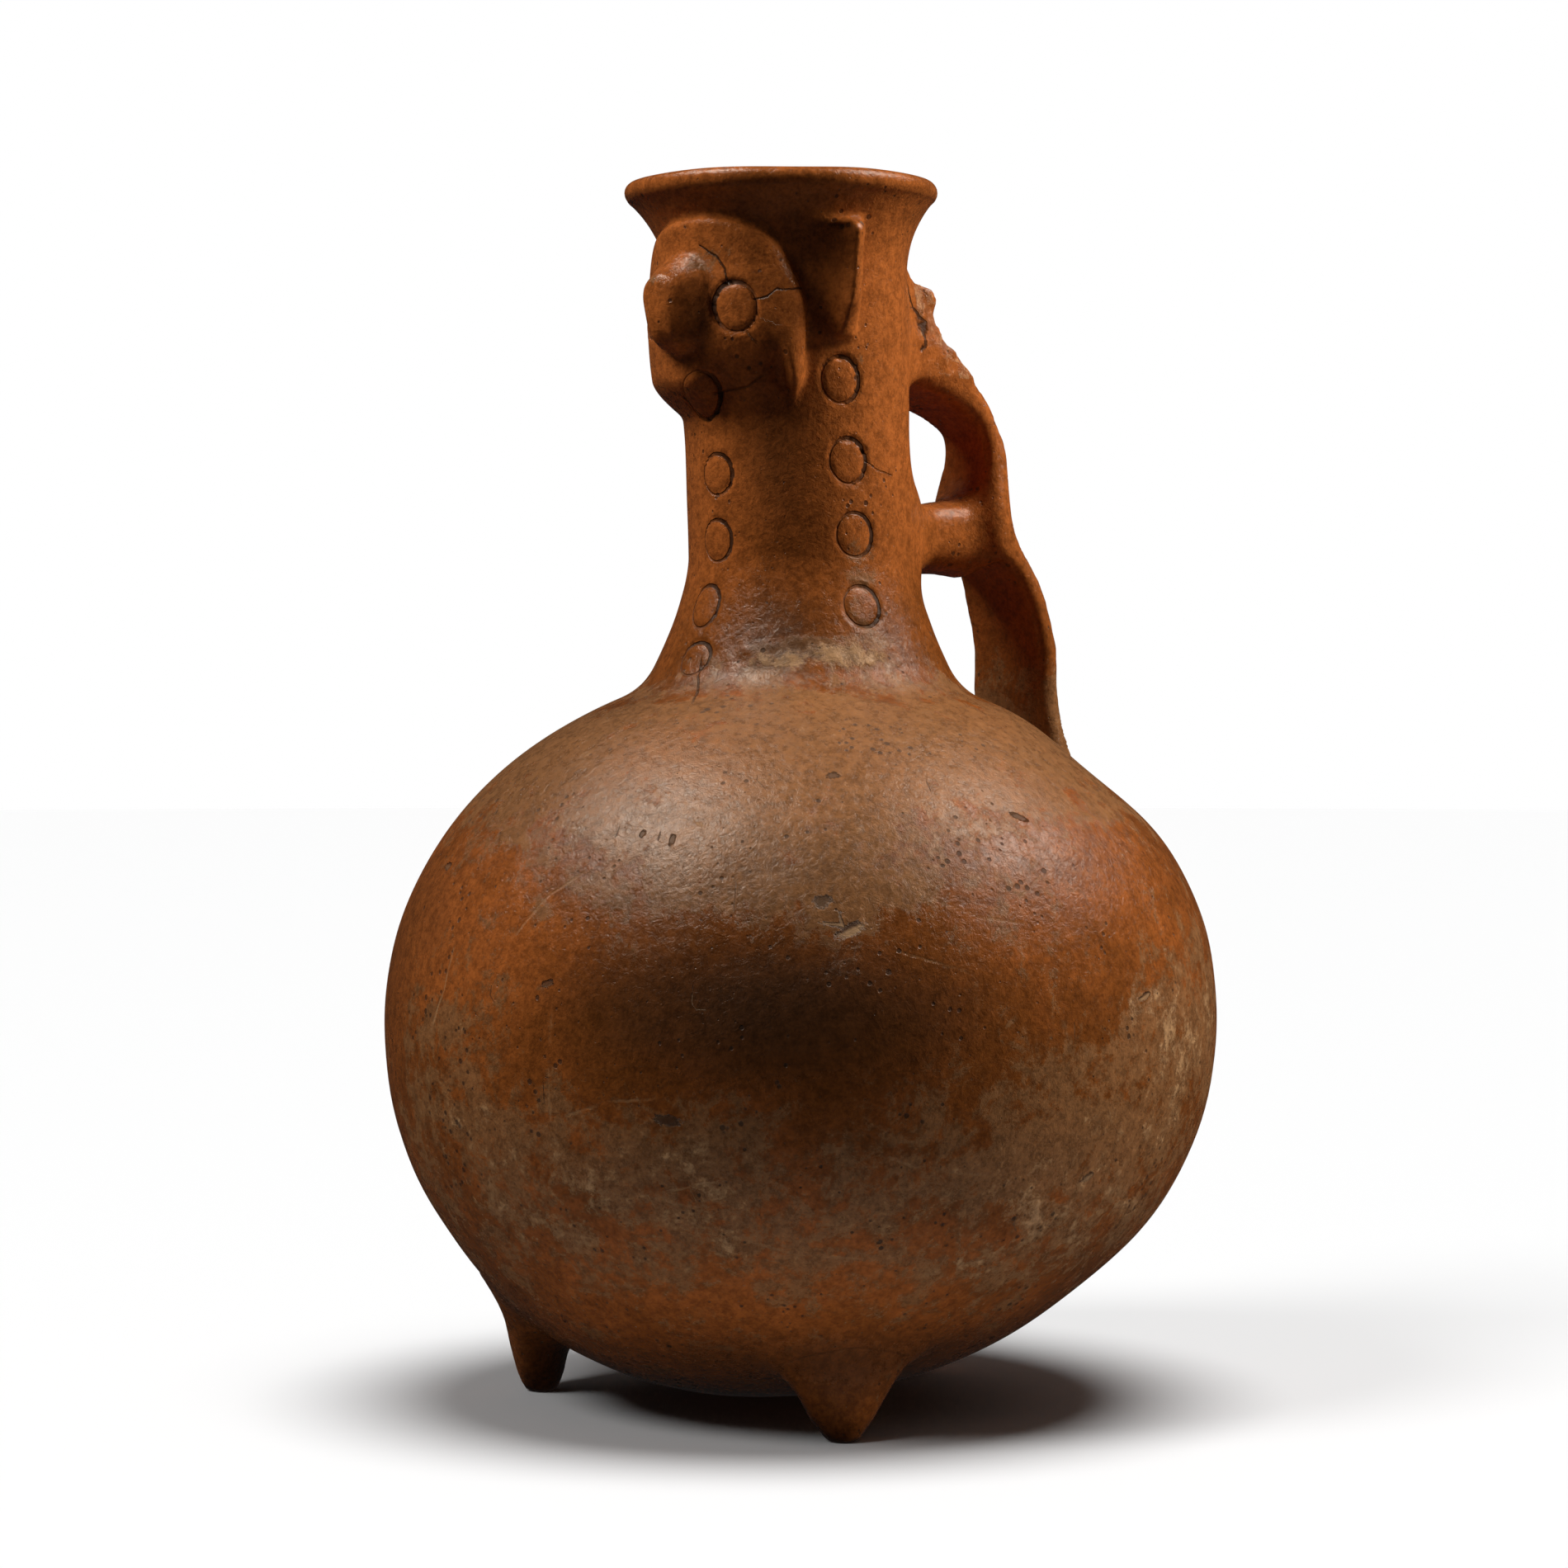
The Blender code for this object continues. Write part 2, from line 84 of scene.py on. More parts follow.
# Keeps powers and quotients off zero
TRACE = 1e-6


def smooth_step(share):
    """A soft step from 0 to 1."""
    share = np.clip(share, 0, 1)
    return share * share * (3 - 2 * share)


def soft_min(a, b, blend):
    """Joins two forms with a fillet between them."""
    near = np.maximum(blend - np.abs(a - b), 0) / blend
    return np.minimum(a, b) - near * near * blend / 4


def soft_max(a, b, blend):
    """Cuts one form by another with a rounded edge."""
    return -soft_min(-a, -b, blend)


def soft_spot(aside, above):
    """1 at the middle of a soft spot and less all round it. Both offsets count in half widths."""
    return np.exp(-aside ** 2 - above ** 2)


def apart(a, b):
    """Degrees from one angle to another, the short way round."""
    return (a - b + 180) % 360 - 180


def axis_shift(z):
    """How far the form's middle stands off the axis at a height."""
    down = np.clip((BELLY_WIDEST - z) / BELLY_DROP, 0, 1) ** 2.2
    back = NECK_SET_BACK * smooth_step((z - BELLY_WIDEST) / BELLY_RISE)
    lean = np.maximum(z - SHOULDER_TOP, 0) / NECK_LENGTH
    return BOTTOM_SAG[0] * down, BOTTOM_SAG[1] * down + back - NECK_LEAN * lean * lean


def neck_radius(z, inset=0.0):
    """Radius of the neck: it spreads at its foot, widens upward and flares into the rim."""
    foot = np.clip((SLIM_FROM - z) / (SLIM_FROM - SHOULDER_TOP), 0, 1.8)
    up = smooth_step((z - SLIM_TO) / (FLARE_START - SLIM_TO))
    climb = np.clip(z - FLARE_START, 0, (RIM_FLARE + inset) * math.sin(FLARE_TURN))
    flare = RIM_FLARE + inset - np.sqrt((RIM_FLARE + inset) ** 2 - climb * climb)
    radius = NECK_RADIUS - inset + NECK_FOOT_FLARE * foot ** 1.5
    return radius + (NECK_TOP_RADIUS - NECK_RADIUS) * up + flare


class Spots:
    """Points in the jug's own terms: place off the leaning middle, distance out, angle from the front."""

    def __init__(self, x, y, z):
        shift_x, shift_y = axis_shift(z)
        self.x, self.y, self.z = x, y, z
        self.side, self.back = x - shift_x, y - shift_y
        self.out = np.hypot(self.side, self.back)
        self.angle = np.degrees(np.arctan2(self.side, -self.back))

    def only(self, chosen):
        part = object.__new__(Spots)
        for name, values in vars(self).items():
            setattr(part, name, values[chosen])
        return part

    def across(self, angle):
        """Millimetres round the jug from a direction."""
        return np.radians(apart(self.angle, angle)) * self.out


def waves(spots, size, seed, count=6):
    """Slow unevenness of a hand-built surface, about -1 to 1."""
    rng = np.random.default_rng(seed)
    total = 0.0
    for _ in range(count):
        run = rng.normal(size=3)
        run *= 2 * math.pi / (size * rng.uniform(0.8, 1.6) * np.linalg.norm(run))
        total = total + np.sin(spots.x * run[0] + spots.y * run[1] + spots.z * run[2] + rng.uniform(0, 6.3))
    return total / count


def belly_form(spots):
    """Distance outside the belly's skin, negative inside."""
    above = spots.z > BELLY_WIDEST
    rise = np.where(above, BELLY_RISE, BELLY_DROP)
    fullness = np.where(above, SHOULDER_FULLNESS, BOTTOM_FULLNESS)
    across = spots.out / BELLY_RADIUS + TRACE
    up = np.abs(spots.z - BELLY_WIDEST) / rise + TRACE
    size = (across ** fullness + up ** fullness) ** (1 / fullness)
    steep = np.hypot((across / size) ** (fullness - 1) / BELLY_RADIUS, (up / size) ** (fullness - 1) / rise)
    form = (size - 1) / steep
    for angle, z, half_width, half_height, proud in SWELLINGS:
        aside = apart(spots.angle, angle) / half_width
        form = form - proud * soft_spot(aside, (spots.z - z) / half_height)
    return form - 0.45 * waves(spots, 95, 3) - 0.22 * waves(spots, 28, 4)


def neck_form(spots):
    """The neck, cut off through the middle of the lip and closed there by the round lip."""
    rim = smooth_step((spots.z - RIM_DROP_FROM) / (HEIGHT - RIM_DROP_FROM))
    z = spots.z + RIM_DROP * rim * (1 + np.cos(np.radians(spots.angle))) / 2
    across, up = spots.out - LIP_MIDDLE[0], z - LIP_MIDDLE[1]
    slanting_end = (across + up) * 0.7071
    wall = soft_max(spots.out - neck_radius(z), slanting_end, 0.05)
    wall = np.maximum(wall, NECK_CUT - z)
    lip = np.hypot(across, up) - LIP_RADIUS - 0.25 * waves(spots, 30, 11)
    lumps = 0.25 * waves(spots, 40, 5) + 0.16 * waves(spots, 11, 6, 9)
    return soft_min(wall - lumps, lip, 0.6)


def hollow_form(spots):
    """The space inside the neck."""
    return spots.out - neck_radius(spots.z, WALL)


# The mask: a pad of clay pressed onto the front of the neck, thick at its edge and smeared out under
# the chin, with a pinched wedge for its nose. It was put on wet, and has cracked as it dried.

FACE_TURN = 5.0
MASK_MIDDLE = SHOULDER_TOP + 0.708 * NECK_LENGTH
MASK_RISE = 0.195 * NECK_LENGTH
MASK_DROP = 0.226 * NECK_LENGTH
MASK_TILT = 0.032 * NECK_LENGTH
MASK_HALF_ANGLE = 53.5
MASK_HALF_WIDTH = 29.0
MASK_EDGE = 5.2
MASK_DOME = 3.5
CHIN, CHIN_FADE = 279.0, 14.0
CHEEK_FROM, CHEEK_TO = 8.0, 53.0
# Where a thumb pressed the clay in behind the cheek: degrees and height of its middle, its half sizes,
# its depth, and the degrees that it leans aside for each millimetre below its top
THUMB_TURN, THUMB_MIDDLE, THUMB_TOP = 44.5, 291.0, 300.0
THUMB_HALF_ANGLE, THUMB_HALF_HEIGHT = 3.8, 8.5
THUMB_DEPTH, THUMB_LEAN = 1.9, 0.12
NOSE_MIDDLE = SHOULDER_TOP + 0.715 * NECK_LENGTH
NOSE_ROOT = (11.0, 14.6)
NOSE_TIP = (4.8, 8.0)
NOSE_REACH = 17.8
NOSE_START = 25.0
NOSE_SQUARENESS = 2.8
NOSE_BREAK = 302.5
# Fillets between the neck, the pad and the nose
MASK_BLEND, NOSE_BLEND = 1.8, 2.2


def oval(across, up, squareness):
    """1 on an oval that is the squarer the higher the power is, and less inside it."""
    total = (np.abs(across) + TRACE) ** squareness + (np.abs(up) + TRACE) ** squareness
    return total ** (1 / squareness)


def turned(across, back, degrees):
    """Two offsets, seen from a direction turned by so many degrees."""
    cos, sin = math.cos(math.radians(degrees)), math.sin(math.radians(degrees))
    return across * cos + back * sin, back * cos - across * sin


def mask_share(angle, z):
    """0 at the middle of the mask, 1 at its edge."""
    across = np.clip((angle - FACE_TURN) / MASK_HALF_ANGLE, -1.6, 1.6)
    up = z - MASK_MIDDLE
    squareness = np.where(up > 0, 2.1, 3.4)
    up = np.where(up > 0, up / (MASK_RISE + MASK_TILT * across), up / MASK_DROP)
    return oval(across, up, squareness)


def mask_proud(spots, share):
    """How far the pad stands off the neck. It fades out at the chin, more slowly under the cheek."""
    up = np.clip((spots.z - MASK_MIDDLE) / MASK_RISE, -1.5, 1.2)
    cheek = smooth_step((spots.angle - CHEEK_FROM) / 16) * smooth_step((CHEEK_TO - spots.angle) / 6)
    chin = smooth_step((spots.z - CHIN + 2 * cheek) / (CHIN_FADE + CHIN_FADE * cheek))
    return chin * (MASK_EDGE * (1 - 0.35 * up) + MASK_DOME * (1 - np.minimum(share, 1.1) ** 2))


def mask_form(spots):
    """The pad, with its edge rounded down to the neck."""
    share = mask_share(spots.angle, spots.z) + 0.018 * waves(spots, 17, 18)
    face = spots.out - neck_radius(spots.z) - mask_proud(spots, share)
    beside = (spots.angle - THUMB_TURN - THUMB_LEAN * (THUMB_TOP - spots.z)) / THUMB_HALF_ANGLE
    thumb = THUMB_DEPTH * soft_spot(beside, (spots.z - THUMB_MIDDLE) / THUMB_HALF_HEIGHT)
    edge = (share - 1) * MASK_HALF_WIDTH
    return soft_max(face + thumb, edge, 4.4) - 0.32 * waves(spots, 13, 17, 8)


def nose_form(spots):
    """The wedge of the nose, with its skin broken away underneath."""
    across, back = turned(spots.side, spots.back, FACE_TURN)
    out = -back
    up = spots.z - NOSE_MIDDLE
    root = neck_radius(spots.z) + MASK_EDGE + MASK_DOME - 1
    reach = NOSE_REACH - (MASK_EDGE + MASK_DOME - 1)
    narrow = np.clip((out - root) / reach, 0, 1)
    half_width = NOSE_ROOT[0] + (NOSE_TIP[0] - NOSE_ROOT[0]) * narrow
    half_height = NOSE_ROOT[1] + (NOSE_TIP[1] - NOSE_ROOT[1]) * narrow
    size = oval(across / half_width, up / half_height, NOSE_SQUARENESS)
    flank = (size - 1) * np.minimum(half_width, half_height) * 0.85
    tip = np.maximum(out - root - reach, NOSE_START - out)
    broken = smooth_step((NOSE_BREAK - spots.z) / 4) * (0.9 + 1.0 * waves(spots, 5, 24, 8))
    return soft_max(flank, tip, 2.8) + broken - 0.6 * waves(spots, 7, 23, 8)


# The ears: two cupped plates pinched out of a strip of clay on the sides of the neck, each with a
# concave front, a thin crest and a back that drops straight down to the neck.

EAR_TOP = SHOULDER_TOP + 0.905 * NECK_LENGTH
EAR_BOTTOM = SHOULDER_TOP + 0.645 * NECK_LENGTH
EAR_REACH = 9.6
EAR_TOP_SLOPE = 0.22
EAR_BLEND = 2.6
# Degrees from the front of the ear's front edge, crest and back, and how far each moves at its foot
EAR_FRONT, EAR_CREST, EAR_BACK = 62.0, 78.5, 88.0
EAR_NARROWING = (7, -6, -5)
# Share of the way up the ear, and how far it reaches and how narrow it is there
EAR_REACHES = ((-0.05, 0.12, 0.3, 0.55, 0.88, 1), (0, 0.45, 0.82, 1, 1, 0.88))
EAR_NARROWNESS = ((0, 0.12, 0.3, 0.55, 1), (0.9, 0.7, 0.45, 0.15, 0))


def ear_form(spots, side):
    """One ear, on the side of +X where side is 1 and of -X where it is -1."""
    angle = spots.angle * side
    up = (spots.z - EAR_BOTTOM) / (EAR_TOP - EAR_BOTTOM)
    reach = np.interp(up, *EAR_REACHES)
    narrow = np.interp(up, *EAR_NARROWNESS)
    front = EAR_FRONT + EAR_NARROWING[0] * narrow
    crest = EAR_CREST + EAR_NARROWING[1] * narrow
    back = EAR_BACK + EAR_NARROWING[2] * narrow
    rising = np.clip((angle - front) / (crest - front), -0.5, 1)
    falling = np.clip((angle - crest) / (back + 1 - crest), 0, 1.3)
    cup = np.where(rising > 0, rising ** 2 * 0.75 + rising * 0.25, rising)
    proud = EAR_REACH * reach * (cup - falling ** 2.2 * 1.3) - 5 * np.clip(1 - 3 * reach, 0, 1)
    sheet = (spots.out - neck_radius(spots.z) - proud) * 0.6
    top = (spots.z - EAR_TOP + EAR_TOP_SLOPE * (spots.out - NECK_RADIUS - 2)) * 0.97
    return soft_max(sheet, top, 3.4) - 0.3 * waves(spots, 12, 29)


# The handle: a flat strap of clay from the back of the neck to the shoulder, joined to the neck again
# by a thick web between two finger loops, and a second strap above that broke off in a rough stub.

UPPER_WIDTH, LOWER_WIDTH = 21.5, 33.5
STRAP_TILT = 4.0
TILT_FROM, TILT_TO = 274.0, 303.0
BRIDGE_MIDDLE = SHOULDER_TOP + 0.277 * NECK_LENGTH
# Fillets between the handle and the jug, and within the handle at its web and its stub
HANDLE_BLEND, WEB_BLEND, STUB_BLEND = 8.5, 12.0, 3.5
# The strap's middle line from the neck down: how far back, height, width, thickness
STRAP_POINTS = (
    (28.0, 299.5, 24.5, 13.5),
    (38.0, 297.0, 23.0, 12.0),
    (47.0, 294.4, UPPER_WIDTH, 10.4),
    (55.6, 289.6, UPPER_WIDTH, 8.0),
    (62.8, 283.2, UPPER_WIDTH, 6.4),
    (65.7, 275.0, UPPER_WIDTH, 5.9),
    (67.3, 264.7, UPPER_WIDTH, 5.6),
    (69.0, 250.6, 24.5, 5.6),
    (76.4, 236.1, 30.2, 6.3),
    (81.8, 217.2, LOWER_WIDTH, 6.9),
    (82.5, 199.8, LOWER_WIDTH, 7.4),
    (88.0, 178.0, 38.5, 7.5),
)
# The web's section on its way from the neck to the strap: share of the way, width, rise above, drop below
WEB_STATIONS = (
    (0, 1.6, 1.3, 2.0),
    (0.14, 1.25, 1.1, 1.45),
    (0.35, 1.0, 0.95, 1.0),
    (0.65, 0.95, 1.1, 1.0),
    (0.85, 1.0, 1.45, 1.05),
    (1, 1.0, 1.75, 1.2),
)
WEB_WIDTH, WEB_HEIGHT = 22.0, 18.2
WEB_START, WEB_END, WEB_CUT = 29.0, 68.0, 63.5
# The broken stub's outline, seen from the side: height and how far back its rough face stands
STUB_OUTLINE = ((290, 60), (298.4, 54.9), (300.7, 52), (305.5, 48.1), (309.7, 44.2), (318, 43.6),
                (321.7, 40.4), (323.1, 36.5), (324.7, 33))
STUB_HALF_WIDTH = 10.3
STUB_FOOT, STUB_TOP = 297.0, 324.0


def curve_through(points, steps):
    """A smooth curve through points with any number of values each."""
    points = np.array(points, float)
    spread = np.vstack((2 * points[0] - points[1], points, 2 * points[-1] - points[-2]))
    found = []
    for a, b, c, d in zip(spread, spread[1:], spread[2:], spread[3:]):
        for t in np.arange(steps) / steps:
            bend = (2 * a - 5 * b + 4 * c - d) * t ** 2 + (3 * b - a - 3 * c + d) * t ** 3
            found.append(0.5 * (2 * b + (c - a) * t + bend))
    return np.array(found + [points[-1]])


def strap_form(spots):
    """The flat strap, as a thickness and a width round its middle line."""
    line = curve_through(STRAP_POINTS, 3)
    tilt = STRAP_TILT * smooth_step((spots.z - TILT_FROM) / (TILT_TO - TILT_FROM))
    z = spots.z - tilt * np.clip(spots.x / (UPPER_WIDTH / 2), -1, 1)
    nearest = np.full(spots.x.shape, 1e9)
    width = np.zeros(spots.x.shape)
    thickness = np.zeros(spots.x.shape)
    for start, end in zip(line, line[1:]):
        run_y, run_z = end[0] - start[0], end[1] - start[1]
        share = ((spots.y - start[0]) * run_y + (z - start[1]) * run_z) / (run_y ** 2 + run_z ** 2)
        share = np.clip(share, 0, 1)
        away = np.hypot(spots.y - start[0] - share * run_y, z - start[1] - share * run_z)
        closer = away < nearest
        nearest = np.where(closer, away, nearest)
        width = np.where(closer, start[2] + (end[2] - start[2]) * share, width)
        thickness = np.where(closer, start[3] + (end[3] - start[3]) * share, thickness)
    return soft_max(np.abs(spots.x) - width / 2, nearest - thickness / 2, 3.6) - 0.25 * waves(spots, 16, 31)


def web_form(spots):
    """The thick web from the neck to the strap, between the two loops."""
    places, widths, rises, drops = np.array(WEB_STATIONS).T
    share = (spots.y - WEB_START) / (WEB_END - WEB_START)
    half_width = WEB_WIDTH / 2 * np.interp(share, places, widths)
    above = np.interp(share, places, rises)
    below = np.interp(share, places, drops)
    up = spots.z - BRIDGE_MIDDLE
    half_height = np.where(up > 0, WEB_HEIGHT / 2 * above, (WEB_HEIGHT / 2 + 2 - 0.2 * spots.x) * below)
    size = ((np.abs(spots.x) / half_width) ** 3 + (np.abs(up) / half_height) ** 3 + 1e-9) ** (1 / 3)
    return soft_max((size - 1) * 8.5, spots.y - WEB_CUT, 3.0)


def stub_form(spots):
    """What is left of the second strap, with its rough broken face."""
    z, back = np.array(STUB_OUTLINE).T
    face = (spots.y - np.interp(spots.z, z, back)) * 0.75
    rough = 1.0 * waves(spots, 8, 37, 8) + 0.6 * waves(spots, 3.5, 41, 8)
    sides = np.abs(spots.x) - STUB_HALF_WIDTH - rough
    ends = np.maximum(spots.z - STUB_TOP, STUB_FOOT - spots.z)
    return soft_max(soft_max(face - rough, sides, 3.0), ends, 1.5)


def handle_form(spots):
    """The whole handle: strap, web and stub."""
    handle = soft_min(strap_form(spots), web_form(spots), WEB_BLEND)
    return soft_min(handle, stub_form(spots), STUB_BLEND) - 0.25 * waves(spots, 9, 44, 8)


# The feet: three short cones of clay, broad where they are smeared onto the belly and worn flat at
# the tip. They stand evenly round the bottom, which sags a little toward the front left.

FEET_TURNS = (69, -51, 197)
FEET_MIDDLE = (-5.3, -6.6)
FEET_CIRCLE = 69.0
FOOT_HEIGHT = 25.0
FOOT_WIDTH, FOOT_DEPTH = 40.0, 20.0
FOOT_CUT = 34.0
FOOT_BLEND = 8.0
SOLE = 7.2
# Share of the way up the foot, and how far it has grown from the sole's size to its full size there
FOOT_GROWTH = ((-1, 0, 0.03, 0.25, 0.46, 0.7, 1, 1.5), (0, 0, 0.06, 0.32, 0.5, 0.72, 1, 1.4))


def foot_form(spots, degrees):
    """One foot, at an angle from the front."""
    across, back = turned(spots.x - FEET_MIDDLE[0], spots.y - FEET_MIDDLE[1], degrees)
    out = -back - FEET_CIRCLE
    grow = np.interp(spots.z / FOOT_HEIGHT, *FOOT_GROWTH)
    half_width = (SOLE + (FOOT_WIDTH - SOLE) * grow) / 2
    half_depth = (SOLE + (FOOT_DEPTH - SOLE) * grow ** 0.6) / 2
    size = np.hypot(across / half_width, out / half_depth) + TRACE
    steep = np.hypot(across / half_width ** 2, out / half_depth ** 2) / size + TRACE
    cone = (size - 1) / steep * 0.85 - 0.3 * waves(spots, 13, 43)
    return soft_max(cone, np.maximum(-spots.z, spots.z - FOOT_CUT), 1.4)


# The stamps: ring after ring pressed into the soft clay with the cut end of a reed, for the eyes and
# the mouth, down the front of the neck and down each side. Each is cut deeper on one side and has
# pushed up a thin lip on the other.

# Angle from the front, height, half width, half height, depth, direction of the deep side in degrees
# counted from the right upward, extra depth there, degrees aside for each millimetre up
STAMPS = (
    (30.5, 311.1, 6.3, 6.9, 1.1, 140, 0.5, 0),
    (-20.5, 311.1, 6.3, 6.9, 1.0, 40, 0.4, 0),
    (7.0, 287.5, 5.8, 6.4, 0.6, -30, 0.4, 0.8),
    (6.4, 265.6, 5.6, 5.8, 0.7, 30, 0.5, 0),
    (5.0, 247.0, 5.5, 5.9, 0.6, 20, 0.4, 0),
    (1.7, 228.4, 5.4, 6.0, 0.6, 30, 0.4, 0),
    (5.3, 213.6, 5.6, 4.6, 0.6, 60, 0.4, 0),
    (75.2, 291.6, 5.8, 6.5, 1.0, 20, 0.8, 0),
    (78.1, 269.1, 5.7, 6.4, 1.0, 25, 0.8, 0),
    (80.6, 248.4, 5.8, 6.2, 1.0, 15, 0.8, 0),
    (80.9, 228.3, 5.7, 5.8, 1.0, 0, 0.7, 0),
    (-65.2, 291.6, 5.8, 6.5, 1.3, 160, 0.9, 0),
    (-68.1, 269.1, 5.7, 6.4, 1.3, 150, 0.9, 0),
    (-70.6, 248.4, 5.8, 6.2, 1.3, 165, 0.9, 0),
    (-70.9, 228.3, 5.7, 5.8, 1.2, 180, 0.8, 0),
)
GROOVE_HALF_WIDTH = 0.68
LIP_AWAY, LIP_HALF_WIDTH = 1.4, 0.6
STAMP_REACH = 11
# Whatever stands farther out than this is not the neck
NECK_WITHIN = 60


def stamp_relief(spots):
    """How deep the stamps' grooves lie in the surface, with their lips and slightly domed discs."""
    deep = np.zeros(spots.x.shape)
    for angle, z, half_width, half_height, depth, toward, extra, aside in STAMPS:
        up = spots.z - z
        across = spots.across(angle + aside * up)
        near = (np.abs(across) < STAMP_REACH) & (np.abs(up) < STAMP_REACH) & (spots.out < NECK_WITHIN)
        across, up = across[near] / half_width, up[near] / half_height
        size = np.hypot(across, up)
        away = (size - 1) * (half_width + half_height) / 2
        lean = np.cos(np.arctan2(up, across) - math.radians(toward))
        groove = 1.2 * (depth + extra * lean) * np.exp(-((away - 0.1 * lean) / GROOVE_HALF_WIDTH) ** 2)
        lip = 0.08 * (1 - 0.6 * lean) * np.exp(-((away - LIP_AWAY) / LIP_HALF_WIDTH) ** 2)
        disc = 0.25 * smooth_step(1 - size) - 0.45 * lean * size * smooth_step((1.03 - size) / 0.16)
        deep[near] += groove - lip - disc * 0.6
    return deep


# The skin: all of the forms above as one surface. Straight rays run out of the leaning middle, level
# ones down to the widest ring and a fan of them below it, and the surface goes through the points
# where the form changes sign along them.

COLUMNS = 190
STEPS_OUT = 60
ROWS_AT_ONCE = 16
HOLLOW_FROM = 327.0
RAYS_TOP = 352.6
# Heights, and the spacing of the level rays there
LEVEL_SPACING = ((110, 150, 185, 206, 214, 285, 292), (3.0, 2.8, 2.3, 1.4, 1.12, 1.12, 0.93))
# Degrees below the level, the degrees from one ray of the fan to the next there, and where the fan ends
FAN_SPACING = ((0, 30, 38, 64, 72, 89), (1.8, 1.7, 1.1, 1.1, 2.2, 3.0))
FAN_END = 86
# The rays are closest together round this many degrees from the front, and how much closer
CLOSEST_TURN, CLOSENESS = 42, 0.38
# How far off the skin of the belly and the neck the level rays start and end at some heights
ROOM = ((110, 150, 200, 218), (40, 38, 30, 18))
# Where the rays start in the mouth, and how far out they reach from the neck and through the handle
MOUTH_START, NECK_REACH, HANDLE_REACH = 22, 56, 97
# How far inside the belly's skin the fan starts and outside it ends, and how much farther at a foot
FAN_DEPTH, FAN_ROOM, FOOT_ROOM = 40, 20, 14
# Rays that reach out through the handle: degrees to each side of it, lowest and highest height
HANDLE_RAYS = (45, 160, 336)
# Rays that reach out through a foot: degrees to each side of it, then degrees below the level
FOOT_RAYS = (34, 32, 76)
# Each piece is worked out only within these heights, degrees from the front, and places back and aside
BELLY_UP_TO, NECK_DOWN_TO = 224, 184
FACE_HEIGHTS, FACE_HALF_ANGLE, NOSE_HALF_ANGLE = (262, 350), 72, 40
EAR_HEIGHTS, EAR_ANGLES = (292, 344), (48, 100)
HANDLE_HEIGHTS, HANDLE_FRONT, HANDLE_HALF_WIDTH = (160, 332), 18, 36
FEET_UP_TO, FOOT_HALF_ANGLE = 38, 50
# The corners of a cell of the lattice, counted in turns, rows and steps from its first corner
CORNERS = [(a, b, c) for a in (0, 1) for b in (0, 1) for c in (0, 1)]


def between(value, limits):
    """Whether a value lies inside a pair of limits."""
    return (value > limits[0]) & (value < limits[1])


def only_near(near, spots, form, *rest):
    """A piece's form, worked out only near the piece."""
    values = np.full(spots.x.shape, 50.0)
    if near.any():
        values[near] = form(spots.only(near), *rest)
    return values


def outer_form(spots):
    """The whole jug's outside: each piece is joined on with a fillet of its own."""
    x, y, z, angle = spots.x, spots.y, spots.z, spots.angle
    body = only_near(z < BELLY_UP_TO, spots, belly_form)
    body = soft_min(body, only_near(z > NECK_DOWN_TO, spots, neck_form), NECK_FOOT_BLEND)
    off_face = np.abs(angle - FACE_TURN)
    on_face = between(z, FACE_HEIGHTS) & (off_face < FACE_HALF_ANGLE)
    body = soft_min(body, only_near(on_face, spots, mask_form), MASK_BLEND)
    on_nose = on_face & (off_face < NOSE_HALF_ANGLE)
    body = soft_min(body, only_near(on_nose, spots, nose_form), NOSE_BLEND)
    for side in (-1, 1):
        on_ear = between(z, EAR_HEIGHTS) & between(angle * side, EAR_ANGLES)
        body = soft_min(body, only_near(on_ear, spots, ear_form, side), EAR_BLEND)
    on_handle = between(z, HANDLE_HEIGHTS) & (y > HANDLE_FRONT) & (np.abs(x) < HANDLE_HALF_WIDTH)
    body = soft_min(body, only_near(on_handle, spots, handle_form), HANDLE_BLEND)
    for degrees in FEET_TURNS:
        on_foot = (z < FEET_UP_TO) & (np.abs(apart(angle, degrees)) < FOOT_HALF_ANGLE)
        body = soft_min(body, only_near(on_foot, spots, foot_form, degrees), FOOT_BLEND)
    return body


def profile_radius(z):
    """Radius of the belly or the neck, whichever is wider, for the spacing of the rays."""
    up = np.clip((z - BELLY_WIDEST) / BELLY_RISE, 0, 1)
    belly = BELLY_RADIUS * (1 - up ** SHOULDER_FULLNESS) ** (1 / SHOULDER_FULLNESS)
    return np.maximum(belly, neck_radius(np.maximum(z, 190)))


def ray_rows():
    """Heights of the level rays, evenly spaced along the profile and closer on the neck; then the fan."""
    z = np.linspace(RAYS_TOP, BELLY_WIDEST, 4000)
    radius = np.where(z > FLARE_END, NECK_TOP_RADIUS + 9.7, profile_radius(z))
    run = np.concatenate(((0,), np.cumsum(np.hypot(np.diff(z), np.diff(radius)))))
    spacing = np.interp(z, *LEVEL_SPACING)
    index = np.concatenate(((0,), np.cumsum(np.diff(run) / spacing[1:])))
    levels = np.interp(np.arange(int(index[-1]) + 1), index, z)
    fan = [0.0]
    while fan[-1] > -FAN_END:
        fan.append(fan[-1] - np.interp(-fan[-1], *FAN_SPACING))
    return levels, np.radians(fan[1:])


def ray_turns():
    """Angles of the rays, closer together on the face and the right side."""
    even = 2 * np.pi * np.arange(COLUMNS) / COLUMNS
    return even - CLOSENESS * np.sin(even - math.radians(CLOSEST_TURN))


